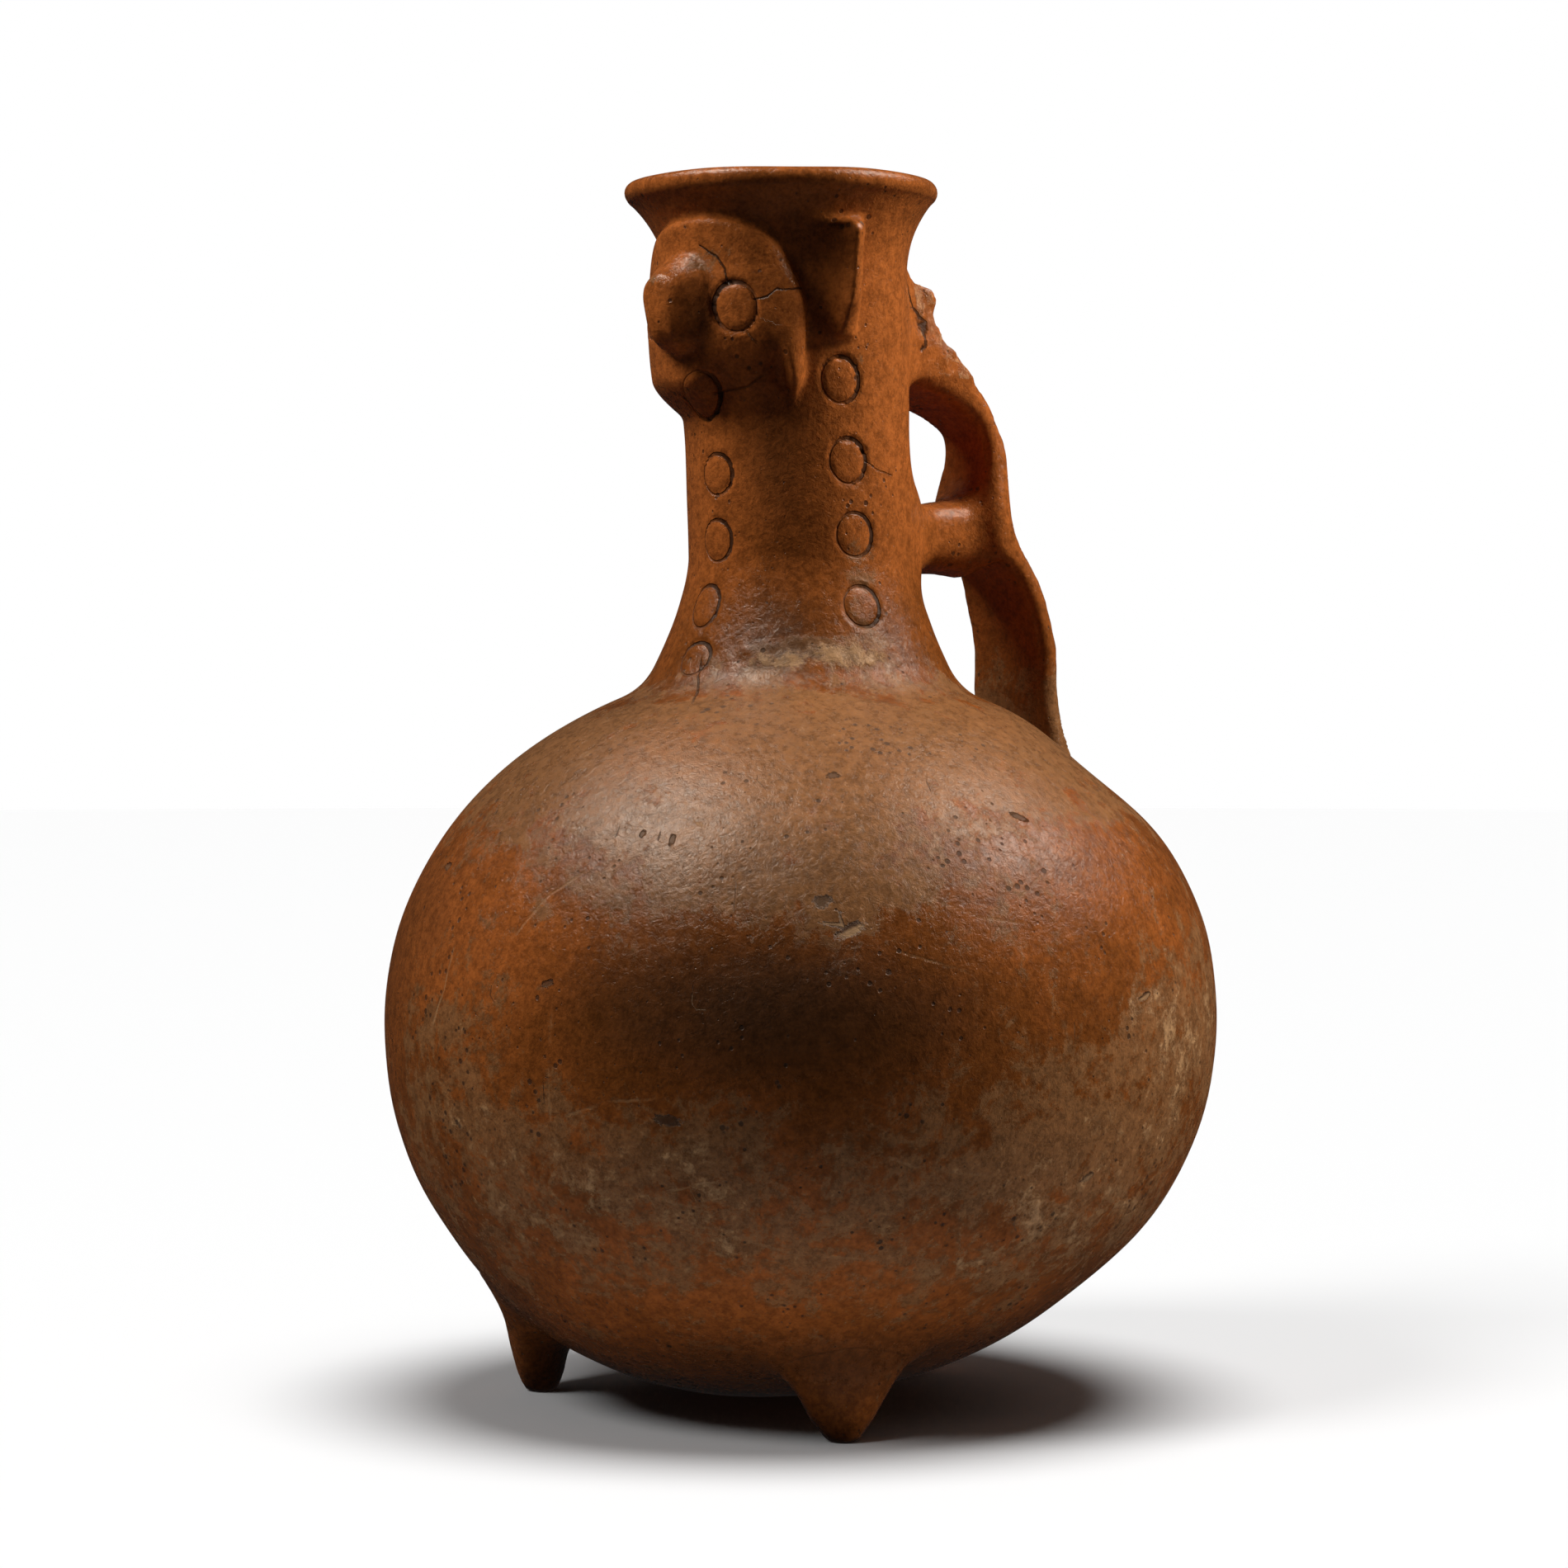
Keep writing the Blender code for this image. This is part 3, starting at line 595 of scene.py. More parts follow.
def through_handle(turn, z):
    """1 for the rays that pass through the handle, 0 a little away from it."""
    half_angle, lowest, highest = HANDLE_RAYS
    share = smooth_step((half_angle - np.abs(apart(np.degrees(turn), 180))) / 17)
    return share * smooth_step((z - lowest) / 14) * smooth_step((highest - z) / 8)


def through_foot(turn, dip):
    """1 for the rays that pass through a foot, 0 a little away from all three."""
    half_angle, highest, lowest = FOOT_RAYS
    share = np.zeros_like(dip)
    for degrees in FEET_TURNS:
        beside = np.abs(apart(np.degrees(turn), degrees))
        share = np.maximum(share, smooth_step((half_angle - beside) / 14))
    down = np.degrees(-dip)
    return share * smooth_step((down - highest) / 8) * smooth_step((lowest - down) / 8)


def ray_points():
    """The lattice of points on the rays: turn by row by step."""
    levels, fan = ray_rows()
    turn = ray_turns()[:, None]
    z = levels[None, :] + 0 * turn
    radius = profile_radius(z)
    room = np.interp(z, *ROOM)
    start = radius - room + smooth_step((z - HOLLOW_FROM + 11) / 10) * (MOUTH_START - radius + room)
    end = radius + room + smooth_step((z - 208) / 12) * (NECK_REACH - radius - room)
    end = np.maximum(end, end + through_handle(turn, z) * (HANDLE_REACH - end))
    level_start = np.stack((start, np.zeros_like(z), z), -1)
    level_end = np.stack((end, np.zeros_like(z), z), -1)
    dip = fan[None, :] + 0 * turn
    across, up = np.cos(dip) / BELLY_RADIUS, -np.sin(dip) / BELLY_DROP
    surface = 1 / (across ** BOTTOM_FULLNESS + up ** BOTTOM_FULLNESS) ** (1 / BOTTOM_FULLNESS)
    fan_ends = []
    for out in (surface - FAN_DEPTH, surface + FAN_ROOM + FOOT_ROOM * through_foot(turn, dip)):
        end = (out * np.cos(dip), np.zeros_like(out), BELLY_WIDEST + out * np.sin(dip))
        fan_ends.append(np.stack(end, -1))
    inner = np.concatenate((level_start, fan_ends[0]), 1)[:, :, None, :]
    outer = np.concatenate((level_end, fan_ends[1]), 1)[:, :, None, :]
    share = (np.arange(STEPS_OUT) / (STEPS_OUT - 1))[None, None, :, None]
    line = inner + (outer - inner) * share
    shift_x, shift_y = axis_shift(line[..., 2])
    turn = turn[:, :, None]
    x = shift_x + line[..., 0] * np.sin(turn)
    y = shift_y - line[..., 0] * np.cos(turn)
    return x, y, line[..., 2]


def lattice_form(x, y, z):
    """The jug's form at each point of the lattice, open inside the mouth down to HOLLOW_FROM."""
    form = np.empty(x.shape)
    for row in range(0, x.shape[1], ROWS_AT_ONCE):
        some = np.s_[:, row:row + ROWS_AT_ONCE]
        spots = Spots(x[some].ravel(), y[some].ravel(), z[some].ravel())
        block = outer_form(spots)
        opened = np.maximum(block, -hollow_form(spots))
        form[some] = np.where(spots.z > HOLLOW_FROM, opened, block).reshape(x[some].shape)
    return form


def cut_points(form, lattice, cells):
    """For each cell that the surface cuts, the middle of the places where it cuts the cell's edges."""
    i, j, k = cells
    total = np.zeros((len(i), 3))
    cuts = np.zeros(len(i))
    for low in CORNERS:
        for axis in range(3):
            if low[axis]:
                continue
            high = tuple(1 if n == axis else place for n, place in enumerate(low))
            at_low = ((i + low[0]) % COLUMNS, j + low[1], k + low[2])
            at_high = ((i + high[0]) % COLUMNS, j + high[1], k + high[2])
            value_low, value_high = form[at_low], form[at_high]
            cut = (value_low < 0) != (value_high < 0)
            share = np.where(cut, value_low / np.where(cut, value_low - value_high, 1), 0)
            for n, places in enumerate(lattice):
                place = places[at_low] + share * (places[at_high] - places[at_low])
                total[:, n] += np.where(cut, place, 0)
            cuts += cut
    return total / cuts[:, None]


def faces_between(one_way, other_way, *cells):
    """Faces that join four cells where the surface crosses their common edge, turned by its way through."""
    there = np.stack([cell[one_way] for cell in cells], -1)
    back = np.stack([cell[other_way] for cell in reversed(cells)], -1)
    return np.concatenate((there, back))


def skin():
    """Points and four-sided faces of the outer skin, and of the mouth's inside down to HOLLOW_FROM."""
    x, y, z = ray_points()
    rows = x.shape[1]
    form = lattice_form(x, y, z)
    inside = form < 0
    filled = sum(
        np.roll(inside, -a, 0)[:, b:rows - 1 + b, c:STEPS_OUT - 1 + c].astype(np.int8) for a, b, c in CORNERS
    )
    crossed = (filled > 0) & (filled < len(CORNERS))
    points = cut_points(form, (x, y, z), np.nonzero(crossed))
    number = np.full(crossed.shape, -1)
    number[crossed] = np.arange(len(points))

    before = np.roll(number, 1, 0)
    leaves = inside[:, 1:-1, :-1] & ~inside[:, 1:-1, 1:]
    enters = ~inside[:, 1:-1, :-1] & inside[:, 1:-1, 1:]
    outward = faces_between(leaves, enters, before[:, :-1], number[:, :-1], number[:, 1:], before[:, 1:])

    # No floor closes the mouth where the hollow ends
    last_hollow = int(np.count_nonzero(z[0, :, 0] > HOLLOW_FROM)) - 1
    in_mouth = hollow_form(Spots(x[:, last_hollow], y[:, last_hollow], z[:, last_hollow])) < 0
    leaves = inside[:, :-1, 1:-1] & ~inside[:, 1:, 1:-1]
    enters = ~inside[:, :-1, 1:-1] & inside[:, 1:, 1:-1]
    enters[:, last_hollow] &= ~in_mouth[:, 1:-1]
    upward = faces_between(
        enters, leaves, before[:, :, :-1], number[:, :, :-1], number[:, :, 1:], before[:, :, 1:]
    )

    following = np.roll(inside, -1, 0)
    leaves = (inside & ~following)[:, 1:-1, 1:-1]
    enters = (~inside & following)[:, 1:-1, 1:-1]
    sideways = faces_between(
        enters, leaves, number[:, :-1, :-1], number[:, 1:, :-1], number[:, 1:, 1:], number[:, :-1, 1:]
    )

    faces = np.concatenate((outward, upward, sideways))
    faces = faces[(faces >= 0).all(1)]
    used = np.unique(faces)
    renumber = np.full(len(points), -1)
    renumber[used] = np.arange(len(used))
    return points[used], renumber[faces]


# The crinkled seam where the neck was set on: middle in degrees and height, how far it spreads, its depth
SEAM_TURN, SEAM_HEIGHT = 58, 213.5
SEAM_SPREAD, SEAM_HALF_HEIGHT = 58, 5.5
SEAM_DEPTH = 0.55
NUDGE = 0.05
LARGEST_MOVE = 1.2


def crust_relief(spots):
    """How deep the crinkled seam round the neck's foot lies in the surface."""
    beside = np.abs(apart(spots.angle, SEAM_TURN))
    seam = np.exp(-((spots.z - SEAM_HEIGHT) / SEAM_HALF_HEIGHT) ** 2)
    seam = seam * smooth_step((SEAM_SPREAD - beside) / 30)
    return SEAM_DEPTH * seam * np.where(spots.out < NECK_WITHIN, waves(spots, 4.5, 8, 10), 0)


def fine_form(points):
    """The form with all that is carved and pressed into it."""
    spots = Spots(*points.T)
    form = outer_form(spots) + stamp_relief(spots) + crust_relief(spots)
    return np.where(spots.z > 300, soft_max(form, -hollow_form(spots), 0.3), form)


def settle(points):
    """Moves each point onto the finely carved surface, by at most LARGEST_MOVE at a time."""
    for _ in range(4):
        form = fine_form(points)
        slope = np.stack([(fine_form(points + NUDGE * axis) - form) / NUDGE for axis in np.eye(3)], -1)
        steep = np.maximum((slope ** 2).sum(1), 0.15)
        move = -slope * (form / steep)[:, None]
        far = np.maximum(np.linalg.norm(move, axis=1, keepdims=True), 1e-9)
        points = points + move * np.minimum(1, LARGEST_MOVE / far)
    points[:, 2] = np.maximum(points[:, 2], 0)
    return points


# The plain inside: sides of each ring, heights of the neck's rings, and the belly's in degrees up
INNER_SIDES = 56
INNER_NECK = (321, 306, 285, 262, 240, 225)
INNER_BELLY = (66, 61, 52, 40, 26, 12, -2, -18, -34, -50, -66, -80)


def inner_rows():
    """Radius and height down the plain inside of the neck and the belly."""
    rows = [(float(neck_radius(z, WALL)), z) for z in INNER_NECK]
    for degrees in INNER_BELLY:
        turn = math.radians(degrees)
        rise = BELLY_RISE if degrees > 0 else BELLY_DROP
        rows.append(((BELLY_RADIUS - WALL) * math.cos(turn), BELLY_WIDEST + (rise - WALL) * math.sin(turn)))
    return rows


def add_inside(mesh):
    """Adds the plain inside to the skin, and gives the edges of its topmost ring."""
    rings = []
    for radius, z in inner_rows():
        shift_x, shift_y = (float(v) for v in axis_shift(np.float64(z)))
        ring = []
        for n in range(INNER_SIDES):
            turn = 2 * math.pi * n / INNER_SIDES
            place = (shift_x + radius * math.sin(turn), shift_y - radius * math.cos(turn), z)
            ring.append(mesh.verts.new(Vector(place) / 1000))
        rings.append(ring)
    top_edges = [mesh.edges.new((rings[0][n - 1], rings[0][n])) for n in range(INNER_SIDES)]
    for upper, lower in zip(rings, rings[1:]):
        for n in range(INNER_SIDES):
            mesh.faces.new((upper[n - 1], upper[n], lower[n], lower[n - 1]))
    mesh.faces.new(rings[-1])
    return top_edges


def jug_mesh():
    """The outer skin and the plain inside, joined into one closed mesh inside the mouth."""
    points, faces = skin()
    points = settle(points)
    made = bpy.data.meshes.new("jug_skin")
    made.from_pydata((points / 1000).tolist(), [], faces.tolist())
    mesh = bmesh.new()
    mesh.from_mesh(made)
    # The skin is still open in two places: inside the mouth, and at the end of the fan under the belly
    open_edges = [edge for edge in mesh.edges if edge.is_boundary]
    mouth_edges = [edge for edge in open_edges if edge.verts[0].co.z > 0.3]
    bottom_edges = [edge for edge in open_edges if edge.verts[0].co.z < 0.1]
    bmesh.ops.holes_fill(mesh, edges=bottom_edges)
    inside_edges = add_inside(mesh)
    bmesh.ops.bridge_loops(mesh, edges=mouth_edges + inside_edges)
    bmesh.ops.recalc_face_normals(mesh, faces=mesh.faces)
    mesh.to_mesh(made)
    mesh.free()
    made.shade_smooth()
    return made


jug = bpy.data.objects.new("burnished_jug", jug_mesh())
bpy.context.scene.collection.objects.link(jug)

# The clay's finish: burnished orange-brown clay, darkened by fire clouds and by painted shade where it faces
# away from the lamps, under a thin grey-brown film of lime and soil that is worn through in streaks. Pits,
# cracks, stamp grooves and chips are darkened with dirt and painted shade, chips with painted light too, and
# the skin is full of fine pits where grit and straw burned out or fell out.

# Angle from the front (None goes all round), height, half width in degrees, half height, strength
FILM_MARKS = (
    (None, 189, 0, 25, 0.74),
    (None, 52, 0, 36, 0.38),
    (20, 322, 30, 10, 0.40),
    (84, 236, 16, 22, 0.36),
    (64, 216, 34, 6, 0.60),
    (38, 86, 9, 9, 0.50),
    (36, 165, 38, 22, 0.50),
    (54, 153, 26, 14, 0.55),
    (112, 108, 34, 36, 0.50),
    (-2, 105, 20, 34, 0.58),
    (88, 82, 30, 24, 0.55),
    (30, 76, 30, 24, 0.36),
    (180, 120, 60, 45, 0.55),
    (240, 140, 40, 35, 0.45),
)
PALE_MARKS = (
    # These two, at the neck's foot, are partly a pale crust and partly a painted highlight where the seam
    # glistens
    (72, 214.5, 18, 4.4, 0.50),
    (42, 213.0, 24, 2.8, 0.40),
    (116, 112, 20, 28, 0.28),
    # These two on the lower belly are partly pale film and partly a painted reflection of the bright floor
    (28, 66, 30, 24, 0.26),
    (90, 60, 30, 22, 0.26),
    (-4, 98, 20, 34, 0.16),
    (78, 140, 16, 12, 0.20),
)
# Dark marks: fire clouds, and painted shade where the clay faces away from the lamps, as noted at each
SOOT_AND_SHADE_MARKS = (
    # The dark cloud in the middle of the front is partly a fire cloud and partly painted shade between the
    # lamps' sides
    (48, 122, 22, 21, 0.90),
    (30, 120, 14, 18, 0.35),
    (68, 120, 14, 18, 0.40),
    # Painted shade down the front of the neck, which faces away from both lamps
    (40, 270, 22, 26, 0.50),
    # Painted shade on the front of the neck's foot
    (44, 221, 26, 13, 0.65),
    # Painted shade on the flank of the nose, between it and the eye
    (18, 309, 6, 10, 0.55),
    # This one only makes the belly darker low on the front, round the front foot
    (60, 24, 60, 12, 0.55),
    # Painted shade on the belly's left side
    (-12, 142, 24, 30, 0.50),
    (52, 158, 16, 8, 0.40),
    (84, 262, 14, 12, 0.12),
    (210, 90, 34, 32, 0.60),
    (160, 140, 18, 22, 0.30),
)
WARM_MARKS = (
    (None, 300, 0, 62, 0.80),
    (0, 138, 20, 26, 0.60),
    (62, 178, 30, 9, 0.20),
    (22, 186, 14, 12, 0.60),
    (104, 150, 24, 34, 0.35),
    (50, 52, 60, 26, 0.35),
    (300, 150, 30, 30, 0.60),
)
# Lines drawn on the skin: strength (cracks above 0, pale scratches below), then the angle and the height
# of each point
LINES = (
    (1.0, (17.6, 327.9), (24.0, 325.0), (26.8, 321.7), (27.8, 318.9)),
    (1.0, (39.6, 313.2), (43.5, 313.8), (47.5, 316.1), (50.0, 315.5), (56.1, 316.3)),
    (0.28, (14.6, 288.0), (24.2, 289.0), (31.1, 289.3), (37.6, 292.1)),
    (0.25, (88.7, 268.9), (96.0, 266.6), (106.0, 265.7)),
    (0.35, (18.4, 201.7), (11.0, 208.6), (9.4, 213.2)),
    (0.28, (34.7, 304.4), (37.9, 301.1)),
    (0.15, (52.2, 21.7), (57.9, 25.7), (66.1, 27.6), (72.7, 26.3), (80.2, 23.6)),
    (0.6, (160.0, 321.0), (166.0, 312.0), (163.0, 304.0)),
    (-0.9, (-2.2, 134.5), (-2.9, 123.3), (-5.1, 114.1)),
    (-0.5, (18.5, 119.0), (18.0, 101.5), (18.1, 81.5)),
    (-0.9, (31.1, 71.7), (37.1, 74.4), (42.7, 76.9)),
    (-0.8, (33.3, 67.3), (39.2, 69.5), (43.8, 73.6)),
    (-0.7, (10.5, 140.0), (14.5, 150.0), (19.0, 156.0)),
    (-0.6, (70.0, 150.0), (77.0, 145.0), (84.0, 143.0)),
    (-0.6, (66.0, 136.0), (74.0, 131.0)),
    (-0.5, (84.0, 150.0), (90.0, 157.0)),
    (-0.6, (20.0, 92.0), (27.0, 97.0), (33.0, 98.0)),
    (-0.5, (62.0, 84.0), (69.0, 79.0), (78.0, 77.0)),
    (-0.5, (98.0, 70.0), (104.0, 77.0), (108.0, 86.0)),
    (-0.5, (46.0, 60.0), (53.0, 56.0), (62.0, 55.0)),
    (-0.6, (200.0, 130.0), (214.0, 122.0), (226.0, 120.0)),
    (-0.5, (262.0, 96.0), (270.0, 108.0)),
)
# Chips: angle, height, half width, half height, tilt in degrees, how much painted light the clay below its
# shaded upper edge gets
CHIPS = (
    (58.6, 142.1, 5.0, 1.7, 24, 1.0),
    (35.0, 92.7, 4.2, 1.6, -8, 0.0),
    (17.4, 127.2, 2.2, 1.1, 10, 0.1),
    (57.7, 182.0, 2.2, 1.0, 5, 0.0),
    (89.5, 170.7, 2.8, 1.1, -20, 0.0),
    (55.0, 149.6, 2.6, 2.0, 0, 0.1),
    (32.3, 165.3, 1.1, 1.7, 0, 0.1),
    (27.1, 166.7, 1.0, 1.1, 0, 0.1),
    (104.0, 122.0, 3.4, 1.1, 15, 0.7),
    (96.0, 74.0, 2.6, 1.4, 30, 0.5),
    (-14.0, 156.0, 2.4, 1.2, 0, 0.2),
    (160.0, 112.0, 4.0, 1.8, 12, 0.6),
    (-60.0, 128.0, 3.6, 1.5, -14, 0.8),
    (-120.0, 96.0, 4.4, 1.6, 8, 0.3),
)
# What counts as the distance where no mark is near, and how far past its ends a line fades out
FAR_AWAY, LINE_FADE = 9.0, 1.5


def spread(spots, marks):
    """How strongly the soft marks of a list cover each point."""
    clear = np.ones(spots.x.shape)
    for angle, z, half_width, half_height, strength in marks:
        aside = 0.0 if angle is None else apart(spots.angle, angle) / half_width
        clear *= 1 - strength * soft_spot(aside, (spots.z - z) / half_height)
    return 1 - clear


def line_values(spots):
    """Offset across the nearest drawn line in mm, and how strong a crack and a scratch are there."""
    offset, nearest = np.full(spots.x.shape, FAR_AWAY), np.full(spots.x.shape, FAR_AWAY)
    strength = np.zeros(spots.x.shape)
    scale = np.radians(1) * spots.out
    for given, *points in LINES:
        for (start_angle, start_z), (end_angle, end_z) in zip(points, points[1:]):
            run_across, run_up = (end_angle - start_angle) * scale, end_z - start_z
            across, up = apart(spots.angle, start_angle) * scale, spots.z - start_z
            length = np.hypot(run_across, run_up)
            along = (across * run_across + up * run_up) / length
            aside = (across * run_up - up * run_across) / length
            beyond = np.maximum(np.maximum(-along, along - length), 0)
            away = np.hypot(aside, beyond)
            closer = away < nearest
            nearest = np.where(closer, away, nearest)
            offset = np.where(closer, aside, offset)
            strength = np.where(closer, given * np.clip(1 - beyond / LINE_FADE, 0, 1), strength)
    return offset, np.maximum(strength, 0), np.maximum(-strength, 0)


def keep_nearest(found, across, up, value):
    """Takes over a mark's values at the points that are nearer to it than to any mark before it."""
    closer = np.hypot(across, up) < np.hypot(found[0], found[1])
    found[:, closer] = np.stack((across, up, value))[:, closer]


def none_near(spots):
    """Values for points that have no mark near them: far across, and 0 for the rest."""
    return np.stack((np.full(spots.x.shape, FAR_AWAY), np.zeros(spots.x.shape), np.zeros(spots.x.shape)))


def chip_values(spots):
    """Position within the nearest chip, 1 at its edge, and how much painted light it gets."""
    found = none_near(spots)
    for angle, z, half_width, half_height, tilt, painted_light in CHIPS:
        across, up = turned(spots.across(angle), spots.z - z, tilt)
        keep_nearest(found, across / half_width, up / half_height, np.full(up.shape, painted_light))
    return found


def ring_values(spots):
    """Position within the nearest stamp, 1 on its groove, first toward its deep side; 1 near a stamp."""
    found = none_near(spots)
    for angle, z, half_width, half_height, depth, toward, extra, aside in STAMPS:
        across = spots.across(angle + aside * (spots.z - z)) / half_width
        across, up = turned(across, (spots.z - z) / half_height, toward)
        keep_nearest(found, across, up, np.hypot(across, up) < 1.3)
    return found


def paint_values(mesh):
    """Stores on the mesh how much of each mark a point has."""
    places = np.empty(len(mesh.vertices) * 3)
    mesh.vertices.foreach_get("co", places)
    spots = Spots(*(places.reshape(-1, 3) * 1000).T)
    # The stub's broken face shows paler clay, and what lies well below the outer form is the inside
    on_stub = (spots.y > 34) & (spots.z > 296) & (np.abs(stub_form(spots)) < 1.3)
    amounts = {
        "film": spread(spots, FILM_MARKS),
        "pale": np.maximum(spread(spots, PALE_MARKS), 0.45 * on_stub),
        "soot_and_shade": spread(spots, SOOT_AND_SHADE_MARKS),
        "warm": spread(spots, WARM_MARKS),
        "inside": (outer_form(spots) < -2.2).astype(float),
    }
    for name, value in amounts.items():
        layer = mesh.attributes.new(name, "FLOAT", "POINT")
        layer.data.foreach_set("value", value.astype(np.float32))
    triples = {"line": line_values(spots), "chip": chip_values(spots), "ring": ring_values(spots)}
    for name, parts in triples.items():
        layer = mesh.attributes.new(name, "FLOAT_VECTOR", "POINT")
        layer.data.foreach_set("vector", np.stack(parts, -1).astype(np.float32).ravel())


paint_values(jug.data)


class Wire:
    """An output of a node that can be used in sums as if it were a number."""

    def __init__(self, finish, socket):
        self.finish, self.socket = finish, socket

    def maths(self, operation, *values):
        return self.finish.node("Math", {"operation": operation}, *values)

    def root(self):
        return self.maths("SQRT", self)

    def __abs__(self):
        return self.maths("ABSOLUTE", self)

    def __add__(self, other):
        return self.maths("ADD", self, other)

    def __sub__(self, other):
        return self.maths("SUBTRACT", self, other)

    def __rsub__(self, other):
        return self.maths("SUBTRACT", other, self)

    def __mul__(self, other):
        return self.maths("MULTIPLY", self, other)

    __radd__ = __add__
    __rmul__ = __mul__

    def rise(self, low, high):
        """0 below low, 1 above high, and a soft step between. It falls where low is the higher one."""
        step = {"interpolation_type": "SMOOTHSTEP"}
        if low > high:
            return 1 - self.rise(high, low)
        return self.finish.node("MapRange", step, self, low, high, 0.0, 1.0)


class Finish:
    """The nodes of a material, or of the world, all made by one method."""

    def __init__(self, owner):
        owner.use_nodes = True
        self.tree = owner.node_tree

    def connect(self, value, socket):
        if isinstance(value, Wire):
            self.tree.links.new(value.socket, socket)
        elif value is not None:
            socket.default_value = value

    def node(self, kind, settings, *values, output=0, **named):
        made = self.tree.nodes.new("ShaderNode" + kind)
        for name, setting in settings.items():
            setattr(made, name, setting)
        for place, value in enumerate(values):
            self.connect(value, made.inputs[place])
        for name, value in named.items():
            self.connect(value, made.inputs[name.replace("_", " ")])
        return Wire(self, made.outputs[output])

    def stored(self, name):
        return self.node("Attribute", {"attribute_name": name}, output="Fac")

    def stored_parts(self, name):
        """The three parts of a stored vector."""
        stored = self.node("Attribute", {"attribute_name": name}, output="Vector")
        return [self.node("SeparateXYZ", {}, stored, output=axis) for axis in "XYZ"]

    def noise(self, place, scale, detail=4.0, roughness=0.55, distortion=0.0):
        return self.node("TexNoise", {}, Vector=place, Scale=scale, Detail=detail,
                         Roughness=roughness, Distortion=distortion)

    def blend(self, amount, below, above, mode="MIX"):
        """Lays one colour over another. The sockets skipped are for blending numbers and directions."""
        settings = {"data_type": "RGBA", "blend_type": mode}
        return self.node("Mix", settings, amount, None, None, None, None, None, below, above, output=2)


clay_material = bpy.data.materials.new("burnished_clay")
clay = Finish(clay_material)
place = clay.node("TexCoord", {}, output="Object")
film_mark, pale_mark, soot_and_shade_mark = clay.stored("film"), clay.stored("pale"), clay.stored("soot_and_shade")
warm_mark, inside_mark = clay.stored("warm"), clay.stored("inside")

# Burnishing strokes run round the jug and climb a little, so what they left is drawn out that way
strokes = clay.node("Mapping", {"vector_type": "TEXTURE"}, place,
                    Rotation=(0.0, math.radians(-24), math.radians(52)), Scale=(2.2, 1.0, 1.0))
broad = clay.noise(place, 14.0, 3.0)
cloudy = clay.noise(place, 42.0, 7.0, 0.66, 0.5)
ragged = clay.noise(strokes, 95.0, 9.0, 0.74, 0.6)
patchy = clay.noise(place, 90.0, 11.0, 0.78, 0.3)
speckle = clay.noise(place, 300.0, 6.0, 0.75)
wrinkle = clay.noise(place, 400.0, 5.0, 0.62, 0.8)
grain = clay.noise(place, 1000.0, 4.0, 0.7)

ORANGE = (0.315, 0.086, 0.017, 1)
BROWN = (0.140, 0.040, 0.007, 1)
FILM = (0.195, 0.090, 0.034, 1)
PALE = (0.420, 0.245, 0.115, 1)
# Dark of the fire clouds, and of painted shade where the clay faces away from the lamps
SOOT_AND_SHADE = (0.048, 0.018, 0.006, 1)
# Dark in pits, cracks, stamp grooves and chips: dirt, and painted shade in the grooves and chips
DIRT_AND_SHADE = (0.022, 0.009, 0.004, 1)
INSIDE = (0.120, 0.040, 0.012, 1)
DARKER = (0.42, 0.38, 0.34, 1)
LIGHTER = (1.48, 1.46, 1.42, 1)

warm = (warm_mark * 0.75 + cloudy * 0.9 + broad * 0.5).rise(0.55, 1.25)
colour = clay.blend(warm, BROWN, ORANGE)
film = (film_mark * 0.42 + patchy * 0.9 + ragged * 0.3 + cloudy * 0.3).rise(0.90, 0.99)
colour = clay.blend(film * 0.75, colour, FILM)
# Fire clouds and painted shade
soot_and_shade = (soot_and_shade_mark * 0.85 + cloudy * 0.5 + ragged * 0.3).rise(0.48, 1.25)
colour = clay.blend(soot_and_shade * 0.9, colour, SOOT_AND_SHADE)
pale = (pale_mark * 0.5 + film_mark * 0.16 + patchy * 0.8 + speckle * 0.30 + grain * 0.12).rise(0.82, 0.93)
colour = clay.blend(pale * 0.5, colour, PALE)
lively = clay.blend((speckle * 0.6 + grain * 0.4).rise(0.36, 0.64), DARKER, LIGHTER)
colour = clay.blend(0.65, colour, lively, "MULTIPLY")

# Pits: small holes with a dark floor, in loose swarms
swarm = clay.noise(place, 55.0, 2.0)
cell = clay.node("TexVoronoi", {}, Vector=place, Scale=300.0, Randomness=1.0, output="Distance")
small_pit = (cell - swarm.rise(0.46, 0.72) * 0.20).rise(0.10, 0.0)
wide_cell = clay.node("TexVoronoi", {}, Vector=place, Scale=125.0, Randomness=1.0, output="Distance")
wide_pit = (wide_cell + speckle * 0.30 - swarm.rise(0.54, 0.75) * 0.07).rise(0.215, 0.165)
pits = small_pit.maths("MAXIMUM", small_pit, wide_pit)

# Lines: cracks are dark and open, scratches pale and shallow
offset, crack_mark, scratch_mark = clay.stored_parts("line")
wavering = abs(offset + (speckle - 0.5) * 1.6)
crack = wavering.rise(0.42, 0.12) * crack_mark.rise(0.0, 0.5)
scratch = wavering.rise(0.60, 0.15) * scratch_mark * ragged.rise(0.42, 0.58)

# Rings of the stamps: a line of painted shade and dirt at the foot of the groove, wide on its deep side
toward, beside, near_ring = clay.stored_parts("ring")
reach = (toward * toward + beside * beside).root()
deep_side = (toward + 0.15).rise(-0.5, 1.0)
ring_offset = abs(reach - 1 + deep_side * 0.01 + (speckle - 0.5) * 0.07)
ring = (ring_offset - deep_side * 0.055).rise(0.075, 0.015) * near_ring.rise(0.6, 0.95)

